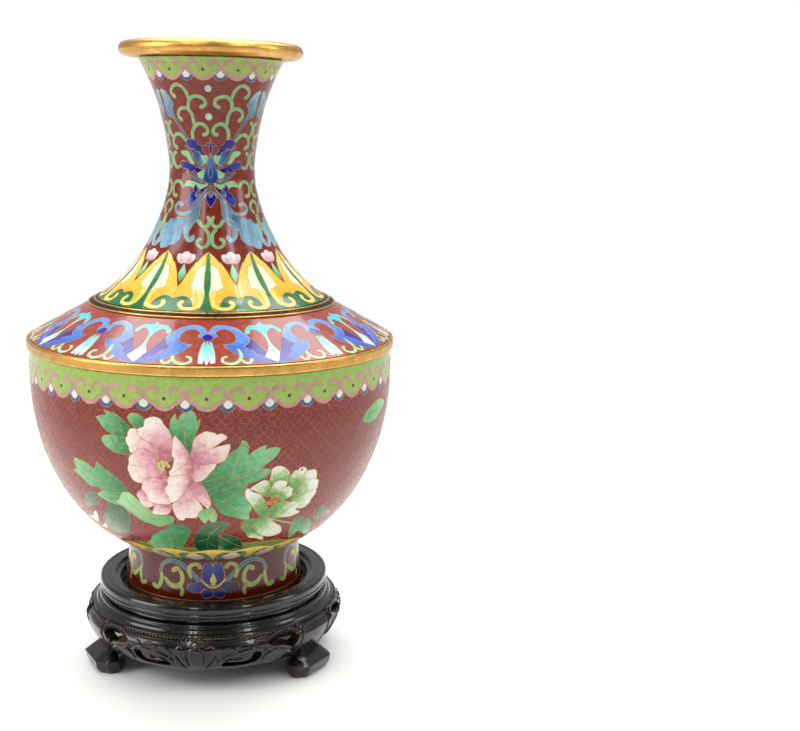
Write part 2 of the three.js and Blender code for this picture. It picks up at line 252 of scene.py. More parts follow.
class Band:
    """Enamel cells and wires on one stretch of a wall. A later cell covers an earlier one."""

    def __init__(self, wall, low, high, ground):
        self.wall = wall
        self.low, self.high = wall.up(low), wall.up(high)
        box = [(-wall.half, self.low), (wall.half, self.low), (wall.half, self.high), (-wall.half, self.high)]
        self.cells = [dict(ring=np.array(box), paint=ground, shade=0.5)]
        self.lines = []

    def cell(self, ring, paint, shade=0.5, edge=True):
        """A cell of enamel inside a closed outline, with a wire round it unless edge is False."""
        after = np.roll(ring, -1, axis=0)
        if np.sum(ring[:, 0] * after[:, 1] - after[:, 0] * ring[:, 1]) < 0:
            ring = ring[::-1]
        for shift in self.turns(ring):
            moved = ring + shift
            fade = shade
            if callable(shade):
                fade = (lambda x, y, s=shift, f=shade: f(x - s[0], y))
            self.cells.append(dict(ring=moved, paint=paint, shade=fade))
            if edge:
                self.lines.append(dict(line=np.vstack([moved, moved[:1]]), level=len(self.cells),
                    width=WIRE_WIDTH))

    def wire(self, line, width=WIRE_WIDTH):
        """A wire along a line on the flat layout."""
        for shift in self.turns(line):
            self.lines.append(dict(line=line + shift, level=len(self.cells), width=width))

    def turns(self, ring):
        """The places, whole turns apart, at which something shows on the flat layout."""
        turn = 2 * math.pi * self.wall.radius
        shifts = [k * turn for k in (-1, 0, 1)]
        return [np.array([k, 0.0]) for k in shifts
                if ring[:, 0].max() + k > -self.wall.half and ring[:, 0].min() + k < self.wall.half]

    def area(self, points, paint, shade=0.5, edge=True):
        """A cell whose outline is given as angles and heights, corners marked by a third value."""
        ring = outline(self.wall.chart(flat_points(points)), corners_of(points))
        self.cell(ring, paint, shade, edge)

    def fade(self, start, end):
        """Shade that runs from 0 at one place to 1 at another, both as angle and height."""
        a, b = self.wall.chart([start, end])
        along = (b - a) / np.dot(b - a, b - a)
        return lambda x, y: np.clip((x - a[0]) * along[0] + (y - a[1]) * along[1], 0, 1)

    def vein(self, points, width=WIRE_WIDTH):
        """A wire through angles and heights."""
        self.wire(outline(self.wall.chart(flat_points(points)), corners_of(points), closed=False), width)

    def clipped(self, item):
        """The stretches of a line that no later cell covers, inside the band."""
        line = item["line"]
        near = np.all((self.lows < line.max(0)) & (self.highs > line.min(0)), axis=1)
        near[:item["level"]] = False
        covers = [self.cells[i]["ring"] for i in np.where(near)[0]]

        def hidden(points):
            mask = (np.abs(points[:, 0]) > self.wall.half + 1e-6)
            mask |= (points[:, 1] < self.low + 0.02) | (points[:, 1] > self.high - 0.02)
            for ring in covers:
                mask |= inside(points, ring)
            return mask

        covered = hidden(line)
        if not covered.any():
            return [line]
        runs, run = [], []
        for i, point in enumerate(line):
            if i and covered[i] != covered[i - 1]:
                a, b = (line[i - 1], point) if covered[i] else (point, line[i - 1])
                for _ in range(6):
                    middle = (a + b) / 2
                    if hidden(middle[None])[0]:
                        b = middle
                    else:
                        a = middle
                run.append(a)
                if covered[i]:
                    runs.append(np.array(run))
                    run = []
            if not covered[i]:
                run.append(point)
        if run:
            runs.append(np.array(run))
        return [r for r in runs if len(r) > 1 and np.linalg.norm(np.diff(r, axis=0), axis=1).sum() > 0.25]

    def triangles(self, fill):
        """Triangles of the whole band, the seam closed, and the topmost cell of each."""
        wall = self.wall
        columns = int(round(2 * wall.half / fill))
        rows = max(int(round((self.high - self.low) / (fill * 0.87))), 1)
        points = []
        for j in range(rows + 1):
            y = self.low + (self.high - self.low) * j / rows
            shift = 0.5 if j % 2 and 0 < j < rows else 0.0
            x = -wall.half + 2 * wall.half * (np.arange(columns + 1) + shift) / columns
            x = x[x <= wall.half]
            if shift:
                x = np.concatenate([[-wall.half], x, [wall.half]])
            points.append(np.stack([x, np.full(len(x), y)], 1))
        grid = np.vstack(points)
        verts = [Vector(p) for p in grid.tolist()]
        faces = []
        for item in self.cells:
            start = len(verts)
            verts.extend(Vector(p) for p in item["ring"].tolist())
            faces.append(list(range(start, len(verts))))
        out = delaunay_2d_cdt(verts, [], faces, 0, 1e-5, True)
        flat = np.array([(v.x, v.y) for v in out[0]])
        kept = [(face, max(owners)) for face, owners in zip(out[2], out[5]) if 0 in owners]
        tris = np.array([face for face, _ in kept])
        a, b, c = flat[tris[:, 0]], flat[tris[:, 1]], flat[tris[:, 2]]
        double_area = (b[:, 0] - a[:, 0]) * (c[:, 1] - a[:, 1]) - (b[:, 1] - a[:, 1]) * (c[:, 0] - a[:, 0])
        tris[double_area < 0] = tris[double_area < 0][:, ::-1]
        solid = np.abs(double_area) > SLIVER
        full = wall.half > math.pi * wall.radius * 0.99
        right = np.where(flat[:, 0] > wall.half - 1e-4)[0] if full else []
        left = np.where(flat[:, 0] < 1e-4 - wall.half)[0]
        merged = np.arange(len(flat))
        for i in right:
            near = left[np.argmin(np.abs(flat[left, 1] - flat[i, 1]))]
            if abs(flat[near, 1] - flat[i, 1]) < 1e-3:
                merged[i] = near
        self.seam = merged
        return flat, tris[solid], np.array([top for _, top in kept])[solid]


def mesh_object(name, verts, faces, material, normals=None, shade=None):
    """A mesh object in metres from millimetre points."""
    mesh = bpy.data.meshes.new(name)
    mesh.from_pydata((np.asarray(verts) * MM).tolist(), [], [list(map(int, f)) for f in faces])
    mesh.update()
    mesh.shade_smooth()
    if shade is not None:
        layer = mesh.attributes.new("shade", "FLOAT", "CORNER")
        layer.data.foreach_set("value", np.asarray(shade, np.float32))
    if normals is not None:
        mesh.normals_split_custom_set(np.asarray(normals).tolist())
    mesh.materials.append(material)
    piece = bpy.data.objects.new(name, mesh)
    bpy.context.scene.collection.objects.link(piece)
    return piece


def slab_faces(triangles, count):
    """Faces of a slab whose lower points follow its count upper ones, and its border's edges."""
    edges = np.concatenate([triangles[:, (0, 1)], triangles[:, (1, 2)], triangles[:, (2, 0)]])
    known = {tuple(edge) for edge in edges.tolist()}
    border = sorted((u, v) for u, v in known if (v, u) not in known)
    faces = triangles.tolist() + (triangles[:, ::-1] + count).tolist()
    return faces + [(v, u, u + count, v + count) for u, v in border], border


def tube_faces(rings, count, closed=False):
    """Quads between rings of count points each; closed joins the last ring to the first."""
    faces = []
    for k in range(rings if closed else rings - 1):
        a, b = k * count, (k + 1) % rings * count
        for i in range(count):
            j = (i + 1) % count
            faces.append((a + i, a + j, b + j, b + i))
    return faces


def enamel_pieces(band, prefix, fill, paints):
    """One piece for each paint of a band: closed slabs of enamel, walled only where the paint ends."""
    flat, tris, tops = band.triangles(fill)
    top_points, top_normals = band.wall.lift(flat)
    low_points, _ = band.wall.lift(flat, -CELL_DEPTH)
    paint_of = np.array([item["paint"] for item in band.cells])
    made = []
    for paint in dict.fromkeys(paint_of[np.unique(tops)].tolist()):
        mine = paint_of[tops] == paint
        own, owner = tris[mine], tops[mine]
        used, local = np.unique(band.seam[own], return_inverse=True)
        local = local.reshape(own.shape)
        tone = np.zeros(own.shape)
        for index in np.unique(owner):
            shade = band.cells[index]["shade"]
            at = owner == index
            corner = flat[own[at]]
            tone[at] = shade(corner[..., 0], corner[..., 1]) if callable(shade) else shade
        faces, border = slab_faces(local, len(used))
        own_normals = top_normals[used]
        ends = np.array(border)
        along = top_points[used[ends[:, 1]]] - top_points[used[ends[:, 0]]]
        out = np.cross(along, own_normals[ends[:, 0]])
        out /= np.linalg.norm(out, axis=1)[:, None] + TINY
        upper = own_normals[local].reshape(-1, 3)
        lower = -own_normals[local[:, ::-1]].reshape(-1, 3)
        normals = np.concatenate([upper, lower, np.repeat(out, 4, axis=0)])
        tones = np.concatenate([tone.ravel(), tone[:, ::-1].ravel(), np.full(4 * len(border), 0.5)])
        verts = np.vstack([top_points[used], low_points[used]])
        made.append(mesh_object(f"{prefix}_{paint}", verts, faces, paints[paint], normals, tones))
    return made


def wire_piece(band, name, material, lattice_only=False):
    """Gilt wires of a band: low, closed ribbons that stand a little proud of the enamel."""
    verts, faces = [], []
    count = 0
    band.lows = np.array([cell["ring"].min(0) for cell in band.cells])
    band.highs = np.array([cell["ring"].max(0) for cell in band.cells])
    for item in band.lines:
        if (item["width"] == LATTICE_WIDTH) != lattice_only:
            continue
        for run in band.clipped(item):
            point, normal = band.wall.lift(run)
            tangent = np.gradient(point, axis=0)
            tangent /= np.linalg.norm(tangent, axis=1)[:, None] + TINY
            side = np.cross(tangent, normal)
            half = item["width"] / 2
            crown = half * WIRE_CROWN
            section = [(-half, -WIRE_ROOT), (half, -WIRE_ROOT), (crown, WIRE_PROUD), (-crown, WIRE_PROUD)]
            n = len(run)
            for across, rise in section:
                verts.append(point + side * across + normal * rise)
            for k in range(4):
                a, b = count + k * n, count + (k + 1) % 4 * n
                for i in range(n - 1):
                    faces.append((a + i, a + i + 1, b + i + 1, b + i))
            faces.append([count + k * n for k in range(4)])
            faces.append([count + k * n + n - 1 for k in (3, 2, 1, 0)])
            count += 4 * n
    return mesh_object(name, np.vstack(verts), faces, material)


# ---- Materials ------------------------------------------------------------------------------

def colour(red, green, blue):
    """A colour as seen, 0 to 255, turned into the linear values that Blender works in."""
    def linear(value):
        value /= 255
        return value / 12.92 if value < 0.04045 else ((value + 0.055) / 1.055) ** 2.4
    return (linear(red), linear(green), linear(blue), 1.0)


class Nodes:
    """A material's nodes, made one after another."""

    def __init__(self, name):
        self.material = bpy.data.materials.new(name)
        self.material.use_nodes = True
        self.tree = self.material.node_tree
        self.shader = self.tree.nodes["Principled BSDF"]
        self.place = self.add("ShaderNodeTexCoord").outputs["Object"]

    def add(self, kind, links=None, **settings):
        """A node, its inputs linked by name, its properties and plain input values set."""
        node = self.tree.nodes.new(kind)
        for key, value in settings.items():
            if hasattr(node, key):
                setattr(node, key, value)
            else:
                node.inputs[key.replace("_", " ")].default_value = value
        for key, value in (links or {}).items():
            self.tree.links.new(value, node.inputs[key])
        return node

    def noise(self, scale, detail, stretch=None):
        """Cloudy values over the object's own coordinates."""
        place = self.place
        if stretch is not None:
            moved = self.add("ShaderNodeMapping", {"Vector": place})
            moved.inputs["Scale"].default_value = stretch
            place = moved.outputs["Vector"]
        node = self.add("ShaderNodeTexNoise", {"Vector": place}, Scale=scale, Detail=detail, Roughness=0.55)
        return node.outputs["Fac"]

    def spread(self, value, low, high, start=0.3, end=0.7):
        """A value between start and end brought to the range from low to high."""
        node = self.add("ShaderNodeMapRange", {"Value": value})
        for key, number in (("From Min", start), ("From Max", end), ("To Min", low), ("To Max", high)):
            node.inputs[key].default_value = number
        return node.outputs["Result"]

    def ramp(self, value, stops):
        """A colour looked up along stops of position and colour."""
        node = self.add("ShaderNodeValToRGB", {"Fac": value})
        elements = node.color_ramp.elements
        elements[0].position, elements[0].color = stops[0]
        elements[1].position, elements[1].color = stops[-1]
        for position, tint in stops[1:-1]:
            elements.new(position).color = tint
        return node.outputs["Color"]

    def mix(self, kind, factor, a, b):
        """Two colours blended; a factor or colour may be a number, a tuple or another node's output."""
        node = self.tree.nodes.new("ShaderNodeMix")
        node.data_type = "RGBA"
        node.blend_type = kind
        for socket, value in ((node.inputs[0], factor), (node.inputs[6], a), (node.inputs[7], b)):
            self.give(socket, value)
        return node.outputs[2]

    def sum(self, kind, a, b):
        """Two values added, multiplied or subtracted, as kind says."""
        node = self.tree.nodes.new("ShaderNodeMath")
        node.operation = kind
        self.give(node.inputs[0], a)
        self.give(node.inputs[1], b)
        return node.outputs[0]

    def bump(self, height, strength, distance):
        """Fine relief on the shader's normal."""
        node = self.add("ShaderNodeBump", {"Height": height}, Strength=strength, Distance=distance)
        self.tree.links.new(node.outputs["Normal"], self.shader.inputs["Normal"])

    def give(self, socket, value):
        """Sets a socket to a value, or links it where the value is another node's output."""
        if isinstance(value, bpy.types.NodeSocket):
            self.tree.links.new(value, socket)
        else:
            socket.default_value = value

    def feed(self, name, value):
        """Gives the shader one of its inputs."""
        self.give(self.shader.inputs[name], value)


def enamel(name, *tints, mottle=0.16, rough=0.16):
    """Polished glass enamel: tints run over the shade attribute, clouded and pitted as ground glass is."""
    n = Nodes(name)
    shade = n.add("ShaderNodeAttribute", attribute_name="shade").outputs["Fac"]
    cloud = n.noise(420, 5)
    grain = n.noise(2300, 3)
    wander = n.spread(cloud, -0.22, 0.22)
    place = n.sum("ADD", shade, wander)
    stops = [(k / (len(tints) - 1), colour(*tint)) for k, tint in enumerate(tints)]
    base = n.ramp(place, stops)
    dark = n.spread(grain, 1 - mottle * 1.6, 1 + mottle * 0.5, 0.3, 0.62)
    tone = n.mix("MULTIPLY", 1.0, base, n.ramp(dark, [(0.0, (0.3, 0.3, 0.3, 1)), (1.0, (1, 1, 1, 1))]))
    pits = n.add("ShaderNodeTexVoronoi", {"Vector": n.place}, Scale=950.0, Randomness=1.0)
    pit = n.spread(pits.outputs["Distance"], 1.0, 0.0, 0.08, 0.16)
    rare = n.spread(n.noise(260, 2), 0.0, 1.0, 0.56, 0.62)
    hole = n.sum("MULTIPLY", pit, rare)
    n.feed("Base Color", n.mix("MIX", n.sum("MULTIPLY", hole, 0.75), tone, colour(34, 24, 18)))
    n.feed("Roughness", n.spread(cloud, rough * 0.75, rough * 1.7))
    n.feed("Specular IOR Level", 0.35)
    n.feed("Coat Weight", 0.2)
    n.feed("Coat Roughness", 0.05)
    swell = n.sum("ADD", n.noise(90, 2), n.sum("MULTIPLY", grain, 0.05))
    n.bump(n.sum("SUBTRACT", swell, n.sum("MULTIPLY", hole, 0.25)), 0.35, 0.0004)
    return n.material


def gilt(name, bright=(232, 182, 98), deep=(158, 104, 48), rough=0.3):
    """Fire-gilt copper, warm and slightly worn, browner in its pores."""
    n = Nodes(name)
    wear = n.noise(160, 6)
    pore = n.noise(1500, 3)
    mix = n.sum("ADD", n.spread(wear, 0, 0.35), n.spread(pore, 0, 0.3, 0.5, 0.75))
    n.feed("Base Color", n.ramp(mix, [(0.0, colour(*bright)), (0.8, colour(*deep))]))
    n.feed("Metallic", 1.0)
    n.feed("Roughness", n.spread(wear, rough * 0.7, rough * 1.5))
    n.bump(n.sum("ADD", pore, n.noise(60, 2)), 0.25, 0.0003)
    return n.material


# ---- Turned pieces --------------------------------------------------------------------------

def lathe(name, section, material):
    """A turned piece from a section in millimetres, counter-clockwise with the axis on its left."""
    around = 192
    section = np.asarray(section, float)
    turn = np.linspace(0, 2 * math.pi, around, endpoint=False)
    verts = np.stack([np.outer(section[:, 0], np.sin(turn)), np.outer(section[:, 0], -np.cos(turn)),
                      np.outer(section[:, 1], np.ones(around))], 2)
    faces = tube_faces(len(section), around, closed=True)
    return mesh_object(name, verts.reshape(-1, 3), faces, material)


def softened(corners, reach, per=5):
    """A closed outline with each corner turned into a small curve that starts at reach from it."""
    corners = np.asarray(corners, float)
    line = []
    for before, corner, after in zip(np.roll(corners, 1, 0), corners, np.roll(corners, -1, 0)):
        into, away = before - corner, after - corner
        a = corner + into / np.linalg.norm(into) * min(reach, np.linalg.norm(into) * 0.45)
        b = corner + away / np.linalg.norm(away) * min(reach, np.linalg.norm(away) * 0.45)
        for t in np.linspace(0, 1, per):
            line.append((1 - t) ** 2 * a + 2 * t * (1 - t) * corner + t * t * b)
    return np.array(line)


def turned_from(node, name, material, reach):
    """A smooth turned piece over a CAD ring whose section is convex."""
    rings = np.array(ring_points(node))
    middle = rings.mean(0)
    order = np.argsort(np.arctan2(rings[:, 1] - middle[1], rings[:, 0] - middle[0]))
    return lathe(name, softened(rings[order], reach), material)


def show(piece, body, slot, *nodes):
    """Sets a piece on its body and hides the CAD nodes that it stands for; slot, the record's material slot,
    is not used.
    """
    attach(piece, body)
    if nodes:
        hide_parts(*nodes)
    return piece


def paint_node(node, material):
    """Gives a CAD node that is shown as it is another material."""
    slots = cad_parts[node].data.materials
    slots.clear()
    slots.append(material)


# ---- Drawing in angles and heights -----------------------------------------------------------

def turned(points, angle, flip=1, warp=None):
    """A motif moved round the wall, mirrored first where flip is -1."""
    moved = []
    for point in points:
        at = angle + flip * point[0]
        moved.append((warp(at) if warp else at, *point[1:]))
    return moved


def both_sides(half):
    """A closed outline from its right half, listed from top to bottom; ends at angle 0 stay single."""
    left = [(-point[0], *point[1:]) for point in reversed(half) if abs(point[0]) > 1e-6]
    return list(half) + left


def scroll(band, points, paint, widths, shade=0.5):
    """A curling band of enamel along angles and heights, widths in millimetres."""
    centre = band.wall.chart(flat_points(points))
    band.cell(stroke(band.wall, centre, widths), paint, shade)


def dot(band, angle, height, radius, paint, shade=0.5):
    """A round cell, its radius in true millimetres."""
    x, y = band.wall.chart([(angle, height)])[0]
    ring = disc(radius)
    ring[:, 0] *= band.wall.radius / band.wall.girth(y)
    band.cell(ring + (x, y), paint, shade)


def ruyi_collar(band, count, centre_height, first=0.0, size=1.0):
    """A row of ruyi heads hanging from a ring: local millimetres round each head's middle."""
    wall = band.wall
    pitch = 2 * math.pi * float(wall.girth(wall.up(centre_height))) / count / size
    half = pitch / 2
    line = [(2.3, 2.3), (2.7, 3.5), (4.3, 4.3), (6.4, 3.7), (half - 0.75, 1.9), (half - 0.8, 0.2),
        (6.2, -1.3), (4.6, -2.0), (3.2, -3.4), (1.6, -4.2)]
    whole = line + [(0, -4.4)] + [(-x, y) for x, y in reversed(line)]
    moon = [(-3.5, -1.7), (-2.9, -4.0), (0, -5.5), (2.9, -4.0), (3.5, -1.7), (1.8, -2.6), (0, -3.0),
        (-1.8, -2.6)]
    drop = [(-1.9, -2.0), (0, -0.2), (1.9, -2.0), (1.3, -3.5), (0, -4.0), (-1.3, -3.5)]
    top = wall.section[-1, 1] - wall.base
    level = centre_height + 0.6 * size
    band.area([(-180, level, 1), (180, level, 1), (180, top, 1), (-180, top, 1)], "collar", edge=False)

    def put(points, angle):
        return wall.place(points, angle, centre_height, size)

    angles = [first + 360 / count * k - 180 for k in range(count)]
    for angle in angles:
        band.cell(outline(put(moon, angle + 180 / count), [0, 4]), "moon_blue", 0.5)
        band.cell(outline(put(drop, angle + 180 / count), [1]), "white_green", 0.6)
    for angle in angles:
        band.cell(outline(put(whole, angle), []), "collar", 0.5, edge=False)
    widths = [width * size for width in (1.5, 1.35, 1.5, 1.35, 1.5)]
    for angle in angles:
        band.cell(stroke(wall, put(whole, angle), widths), "scroll_pink", 0.5)
        band.cell(outline(put(disc(0.85), angle), []), "moon_blue", 0.1)


def lattice(band, low, high, columns):
    """Fine gilt wires on the ground: a diagonal net with a four-leaved knot at each crossing."""
    loop, reach = 1.42, 2.6     # radius of a leaf, and how far its middle is from the crossing
    wall = band.wall
    y0, y1 = wall.up(low), wall.up(high)
    pitch = 2 * wall.half / columns
    rows = int((y1 - y0) / pitch) + 1
    for k in range(columns):
        for slope in (1, -1):
            start = -wall.half + pitch * k
            rise = np.arange(0, y1 - y0 + 0.01, 2.4)
            line = np.stack([start + slope * rise, y0 + rise], 1)
            x = (line[:, 0] + wall.half) % (2 * wall.half) - wall.half
            breaks = np.where(np.abs(np.diff(x)) > wall.half)[0]
            for run in np.split(np.stack([x, line[:, 1]], 1), breaks + 1):
                if len(run) > 1:
                    band.wire(run, LATTICE_WIDTH)
    turn = np.radians(np.linspace(-120, 120, 7))
    for j in range(2 * rows + 2):
        y = y0 + pitch / 2 * j
        stretch = wall.radius / float(wall.girth(y))
        for k in range(columns):
            x = -wall.half + pitch * (k + 0.5 * (j % 2))
            for quarter in range(4):
                a = turn + math.pi / 2 * quarter
                cx, cy = math.cos(math.pi / 2 * quarter), math.sin(math.pi / 2 * quarter)
                knot = np.stack([cx * reach + loop * np.cos(a), cy * reach + loop * np.sin(a)], 1)
                knot[:, 0] *= stretch
                band.wire(knot + (x, y), LATTICE_WIDTH)


def leaf(band, points, paint, veins=(), fade=None):
    """A leaf outline with its wire veins; fade is (from, to) for the shade."""
    band.area(points, paint, band.fade(*fade) if fade else 0.5)
    for vein in veins:
        band.vein(vein)


# ---- Neck: lappets, lotus scrolls and the upper collar ---------------------------------------

def lappets(band):
    """Ten yellow arches round the root of the neck, with leaf spears between them."""
    count = 10
    band.area([(-180, 137.6, 1), (180, 137.6, 1), (180, 144.6, 1), (-180, 144.6, 1)], "lappet_green", 0.3)
    arch = both_sides([(0, 161.3, 1), (4.3, 159.6), (8.6, 156.9, 1), (9.6, 156.8), (13.6, 153.2),
        (16.4, 149.2), (17.95, 147.2, 1), (17.95, 142.9, 1), (13.5, 143.9), (9.4, 143.2), (7.2, 141.4),
        (6.4, 139.4), (4.6, 139.6), (3.4, 141.5), (2.2, 144.6), (0, 144.8)])
    cream = both_sides([(0, 156.4), (5.6, 155.4, 1), (7.0, 154.4), (8.3, 152.4, 1), (9.0, 151.0),
        (9.0, 149.3, 1), (9.7, 148.2), (9.3, 146.6, 1), (7.4, 146.6), (5.2, 145.4, 1), (3.4, 144.6),
        (0, 143.6)])
    spear = both_sides([(0, 161.0, 1), (1.2, 159.8), (1.5, 156.5), (2.1, 151.5), (2.0, 147.5), (1.3, 144.5),
        (1.9, 142.0), (3.1, 139.6), (5.2, 137.5, 1)])
    volute = [(4.4, 145.4), (3.1, 143.4), (3.2, 141.4), (5, 139.9), (8.4, 139.3), (12, 139.6),
        (13.6, 140.9), (12.7, 141.7)]
    bud = both_sides([(0, 161.4, 1), (2.6, 160.9), (4.2, 159.4), (3.4, 157.2), (0, 156.4, 1)])
    wing = [(1.0, 156.3, 1), (4.2, 156.5), (7.2, 157.9), (7.7, 159.9), (5.6, 160.3), (3.0, 160.2),
        (3.6, 158.2)]
    between = both_sides([(0, 156.4, 1), (1.4, 154.6), (2.6, 152.3), (1.6, 150.6), (0, 149.2, 1)])
    for k in range(count):
        middle = -181.5 + 36 * k
        band.area(turned(arch, middle), "lappet_yellow", band.fade((middle, 143), (middle, 160)))
        band.area(turned(cream, middle), "cream", 0.5)
    for k in range(count):
        middle = -181.5 + 36 * k
        for flip in (1, -1):
            scroll(band, turned(volute, middle, flip), "lappet_yellow",
                   [2.0, 2.7, 2.7, 2.4, 2.1, 1.8, 1.8, 2.1], 0.75)
        band.area(turned(spear, middle), "spear_green", band.fade((middle, 140), (middle, 160)))
        band.area(turned(between, middle + 18), "bud_green", band.fade((middle + 18, 150),
            (middle + 18, 156)))
        for flip in (1, -1):
            band.area(turned(wing, middle + 18, flip), "bud_white", band.fade((middle + 18, 161),
                (middle + 18, 157)))
        band.area(turned(bud, middle + 18), "bud_white", band.fade((middle + 18, 162), (middle + 18, 157.5)))


def neck_lotus(band, middle):
    """A blue lotus with its scrolling stems, mirrored about its own middle."""
    def each(points, paint, *fade):
        for flip in (1, -1):
            shade = 0.5
            if fade:
                shade = band.fade(*[(middle + flip * x, y) for x, y in fade])
            band.area(turned(points, middle, flip), paint, shade)

    def curls(points, widths, paint="neck_green", shade=0.5):
        for flip in (1, -1):
            scroll(band, turned(points, middle, flip), paint, widths, shade)

    def hook(*points):
        curls(points, [1.35, 1.4, 1.45, 1.4, 1.3, 1.7])

    def veins(*lines):
        for line in lines:
            for flip in (1, -1):
                band.vein(turned(line, middle, flip), 0.26)

    # leaves above and below, on their stems
    curls([(-26, 206.6), (-31, 209.6), (-37.1, 213.3), (-46, 218.6)], [1.2, 1.3, 1.4, 1.6], "slate_blue")
    each([(-44.6, 217.6, 1), (-45.2, 220), (-44.9, 222), (-41.6, 223.8, 1), (-43.6, 225.4), (-46.6, 227.4),
        (-50.6, 229.2), (-55.6, 230.2), (-58.6, 229.6, 1), (-57.4, 226), (-58.2, 221.6), (-56.4, 219.4, 1),
        (-53, 218.4), (-49, 218.2)], "steel_leaf", (-46, 219), (-54, 230))
    veins([(-46.4, 218.8), (-49.4, 223), (-54, 228.6)], [(-48.6, 222), (-45.6, 223.6)], [(-50.2, 224.4),
        (-48.4, 226.8)], [(-49, 222.6), (-54, 222.6)], [(-51, 225.2), (-56, 226)])
    each([(-12, 182.4), (-12.3, 178.9), (-12.7, 175.9), (-16.8, 173.1), (-20.6, 170.5), (-21.4, 168.6),
        (-19.8, 167.2), (-16.4, 168.3), (-14.2, 167.1, 1), (-16.3, 165.5), (-20.7, 165.3), (-25.3, 167.3),
        (-27.6, 169.9), (-29.9, 172.3), (-26.5, 176), (-21.3, 180.3)], "steel_leaf", (-14, 178), (-22, 166))
    each([(-24.1, 177.2), (-28.5, 176.6), (-33.1, 175.2), (-38, 175.6, 1), (-42.6, 174.4),
        (-47.2, 174.7, 1), (-51, 172.8), (-55.9, 172.5, 1), (-57.8, 170.2), (-58.6, 168.2),
        (-56.2, 166.9, 1), (-59, 164.2), (-59.6, 162.6), (-57.2, 162.5), (-51.7, 164.7), (-50.6, 163.4),
        (-47.9, 161.9, 1), (-43.7, 162.2), (-38.3, 163.5, 1), (-32.7, 164.3), (-28.5, 166.5, 1),
        (-28.7, 169.5), (-27.9, 172.3), (-22, 174.4)], "steel_leaf", (-22, 176), (-52, 164))
    veins([(-13.7, 181.3), (-19.1, 175.9), (-30.7, 171.9), (-40.7, 168.7), (-55, 165)], [(-34, 170.8),
        (-31.6, 166.6)], [(-40, 168.9), (-37.6, 165)], [(-33, 171.2), (-38.4, 173.6)], [(-39, 169.2),
        (-46.4, 172.6)], [(-45.6, 167.4), (-53.6, 170.4)], [(-46, 167.2), (-45, 163.8)], [(-20, 175.6),
        (-21.6, 171.6), (-24.6, 167.8)])
    curls([(-2, 188), (-7.4, 185.8), (-13.2, 183.2), (-19.3, 180.4), (-24.6, 177.9)],
        [1.1, 1.5, 1.7, 1.8, 1.6], "steel_leaf", 0.2)
    curls([(-23, 178), (-30.7, 176.9), (-37.9, 176.9), (-44, 178.3), (-45.1, 180.1), (-41.5, 181.3),
        (-36, 180.8)], [1.2, 1.4, 1.4, 1.4, 1.3, 1.6], "steel_leaf", 0.6)
    # chains of green curls
    hook((-21.9, 207.6), (-21.6, 212.3), (-16.5, 215.1), (-10.3, 215.7), (-4.3, 214.1), (-3.5, 211.9),
        (-7.5, 211.1))
    hook((-19.1, 215.6), (-20.3, 219.3), (-23.9, 221.7), (-30.1, 222.3), (-36.3, 221.1), (-38.1, 218.7),
        (-34.5, 217.3))
    hook((-23.9, 221.4), (-23.1, 224.5), (-18.9, 226.7), (-12.7, 227.3), (-6.3, 226.1), (-4.9, 223.9),
        (-9.3, 222.7))
    hook((-22.3, 226.4), (-24.1, 229.3), (-28.5, 231.5), (-34.1, 231.9), (-39.5, 230.5), (-41.3, 228.5),
        (-38.3, 227.1))
    hook((-32, 208.4), (-38.5, 210.7), (-46.1, 211.1), (-52.9, 209.1), (-54.1, 206.5), (-48.3, 205.3))
    hook((-53, 209.6), (-57.6, 211.9), (-58, 215.2), (-54, 216.2))
    hook((-45.6, 197.1), (-52, 196.7), (-57.6, 199.1), (-57.2, 202.1), (-52.5, 203.1))
    hook((-38.6, 188.4), (-45, 190.6), (-54, 190.2), (-57.4, 187.7), (-54.2, 184.9), (-48.6, 184.4))
    hook((-58.6, 182.4), (-54.2, 181.4), (-52.2, 179.2), (-55.4, 177.5))
    hook((-58.8, 176), (-58, 171.8), (-58.8, 170))
    hook((-2.9, 175.7), (-1.6, 174.9), (-1.6, 173.1), (-4.2, 171.8), (-9.2, 172.2), (-13, 174.2))
    hook((-5.4, 170.7), (-2.2, 168.9), (-1.3, 166.1), (-3.1, 163.9), (-6.9, 163.1), (-10.9, 163.9),
        (-12.1, 165.7), (-9.5, 166.5))
    for height in (230.5, 218.7):
        dot(band, middle - 1.5, height, 1.5, "pale_dot")
    # light green leaves between the petals
    each([(-41.3, 203.7), (-34.9, 204.1), (-28.7, 203.3), (-25.3, 200.7), (-21.5, 198.5), (-27.3, 198.9),
        (-33.3, 201.3), (-39.9, 202.5)], "filler_green")
    each([(-15.3, 201.9, 1), (-9.6, 202.3), (-3.5, 201.9), (-5.5, 199.3), (-8.3, 198.3), (-11.7, 198.8)],
        "filler_green")
    each([(-19.3, 194.5, 1), (-14, 195.6), (-9.3, 196.9), (-9.3, 192.9), (-14.7, 192.3)], "filler_green")
    each([(-39.1, 188.3, 1), (-33.5, 190.7), (-28.1, 191.3), (-18.1, 190.5), (-3.9, 190.2), (-8, 187.6),
        (-12.7, 186.7), (-16, 188.4), (-21.5, 187.5), (-27.5, 188.7)], "filler_green")
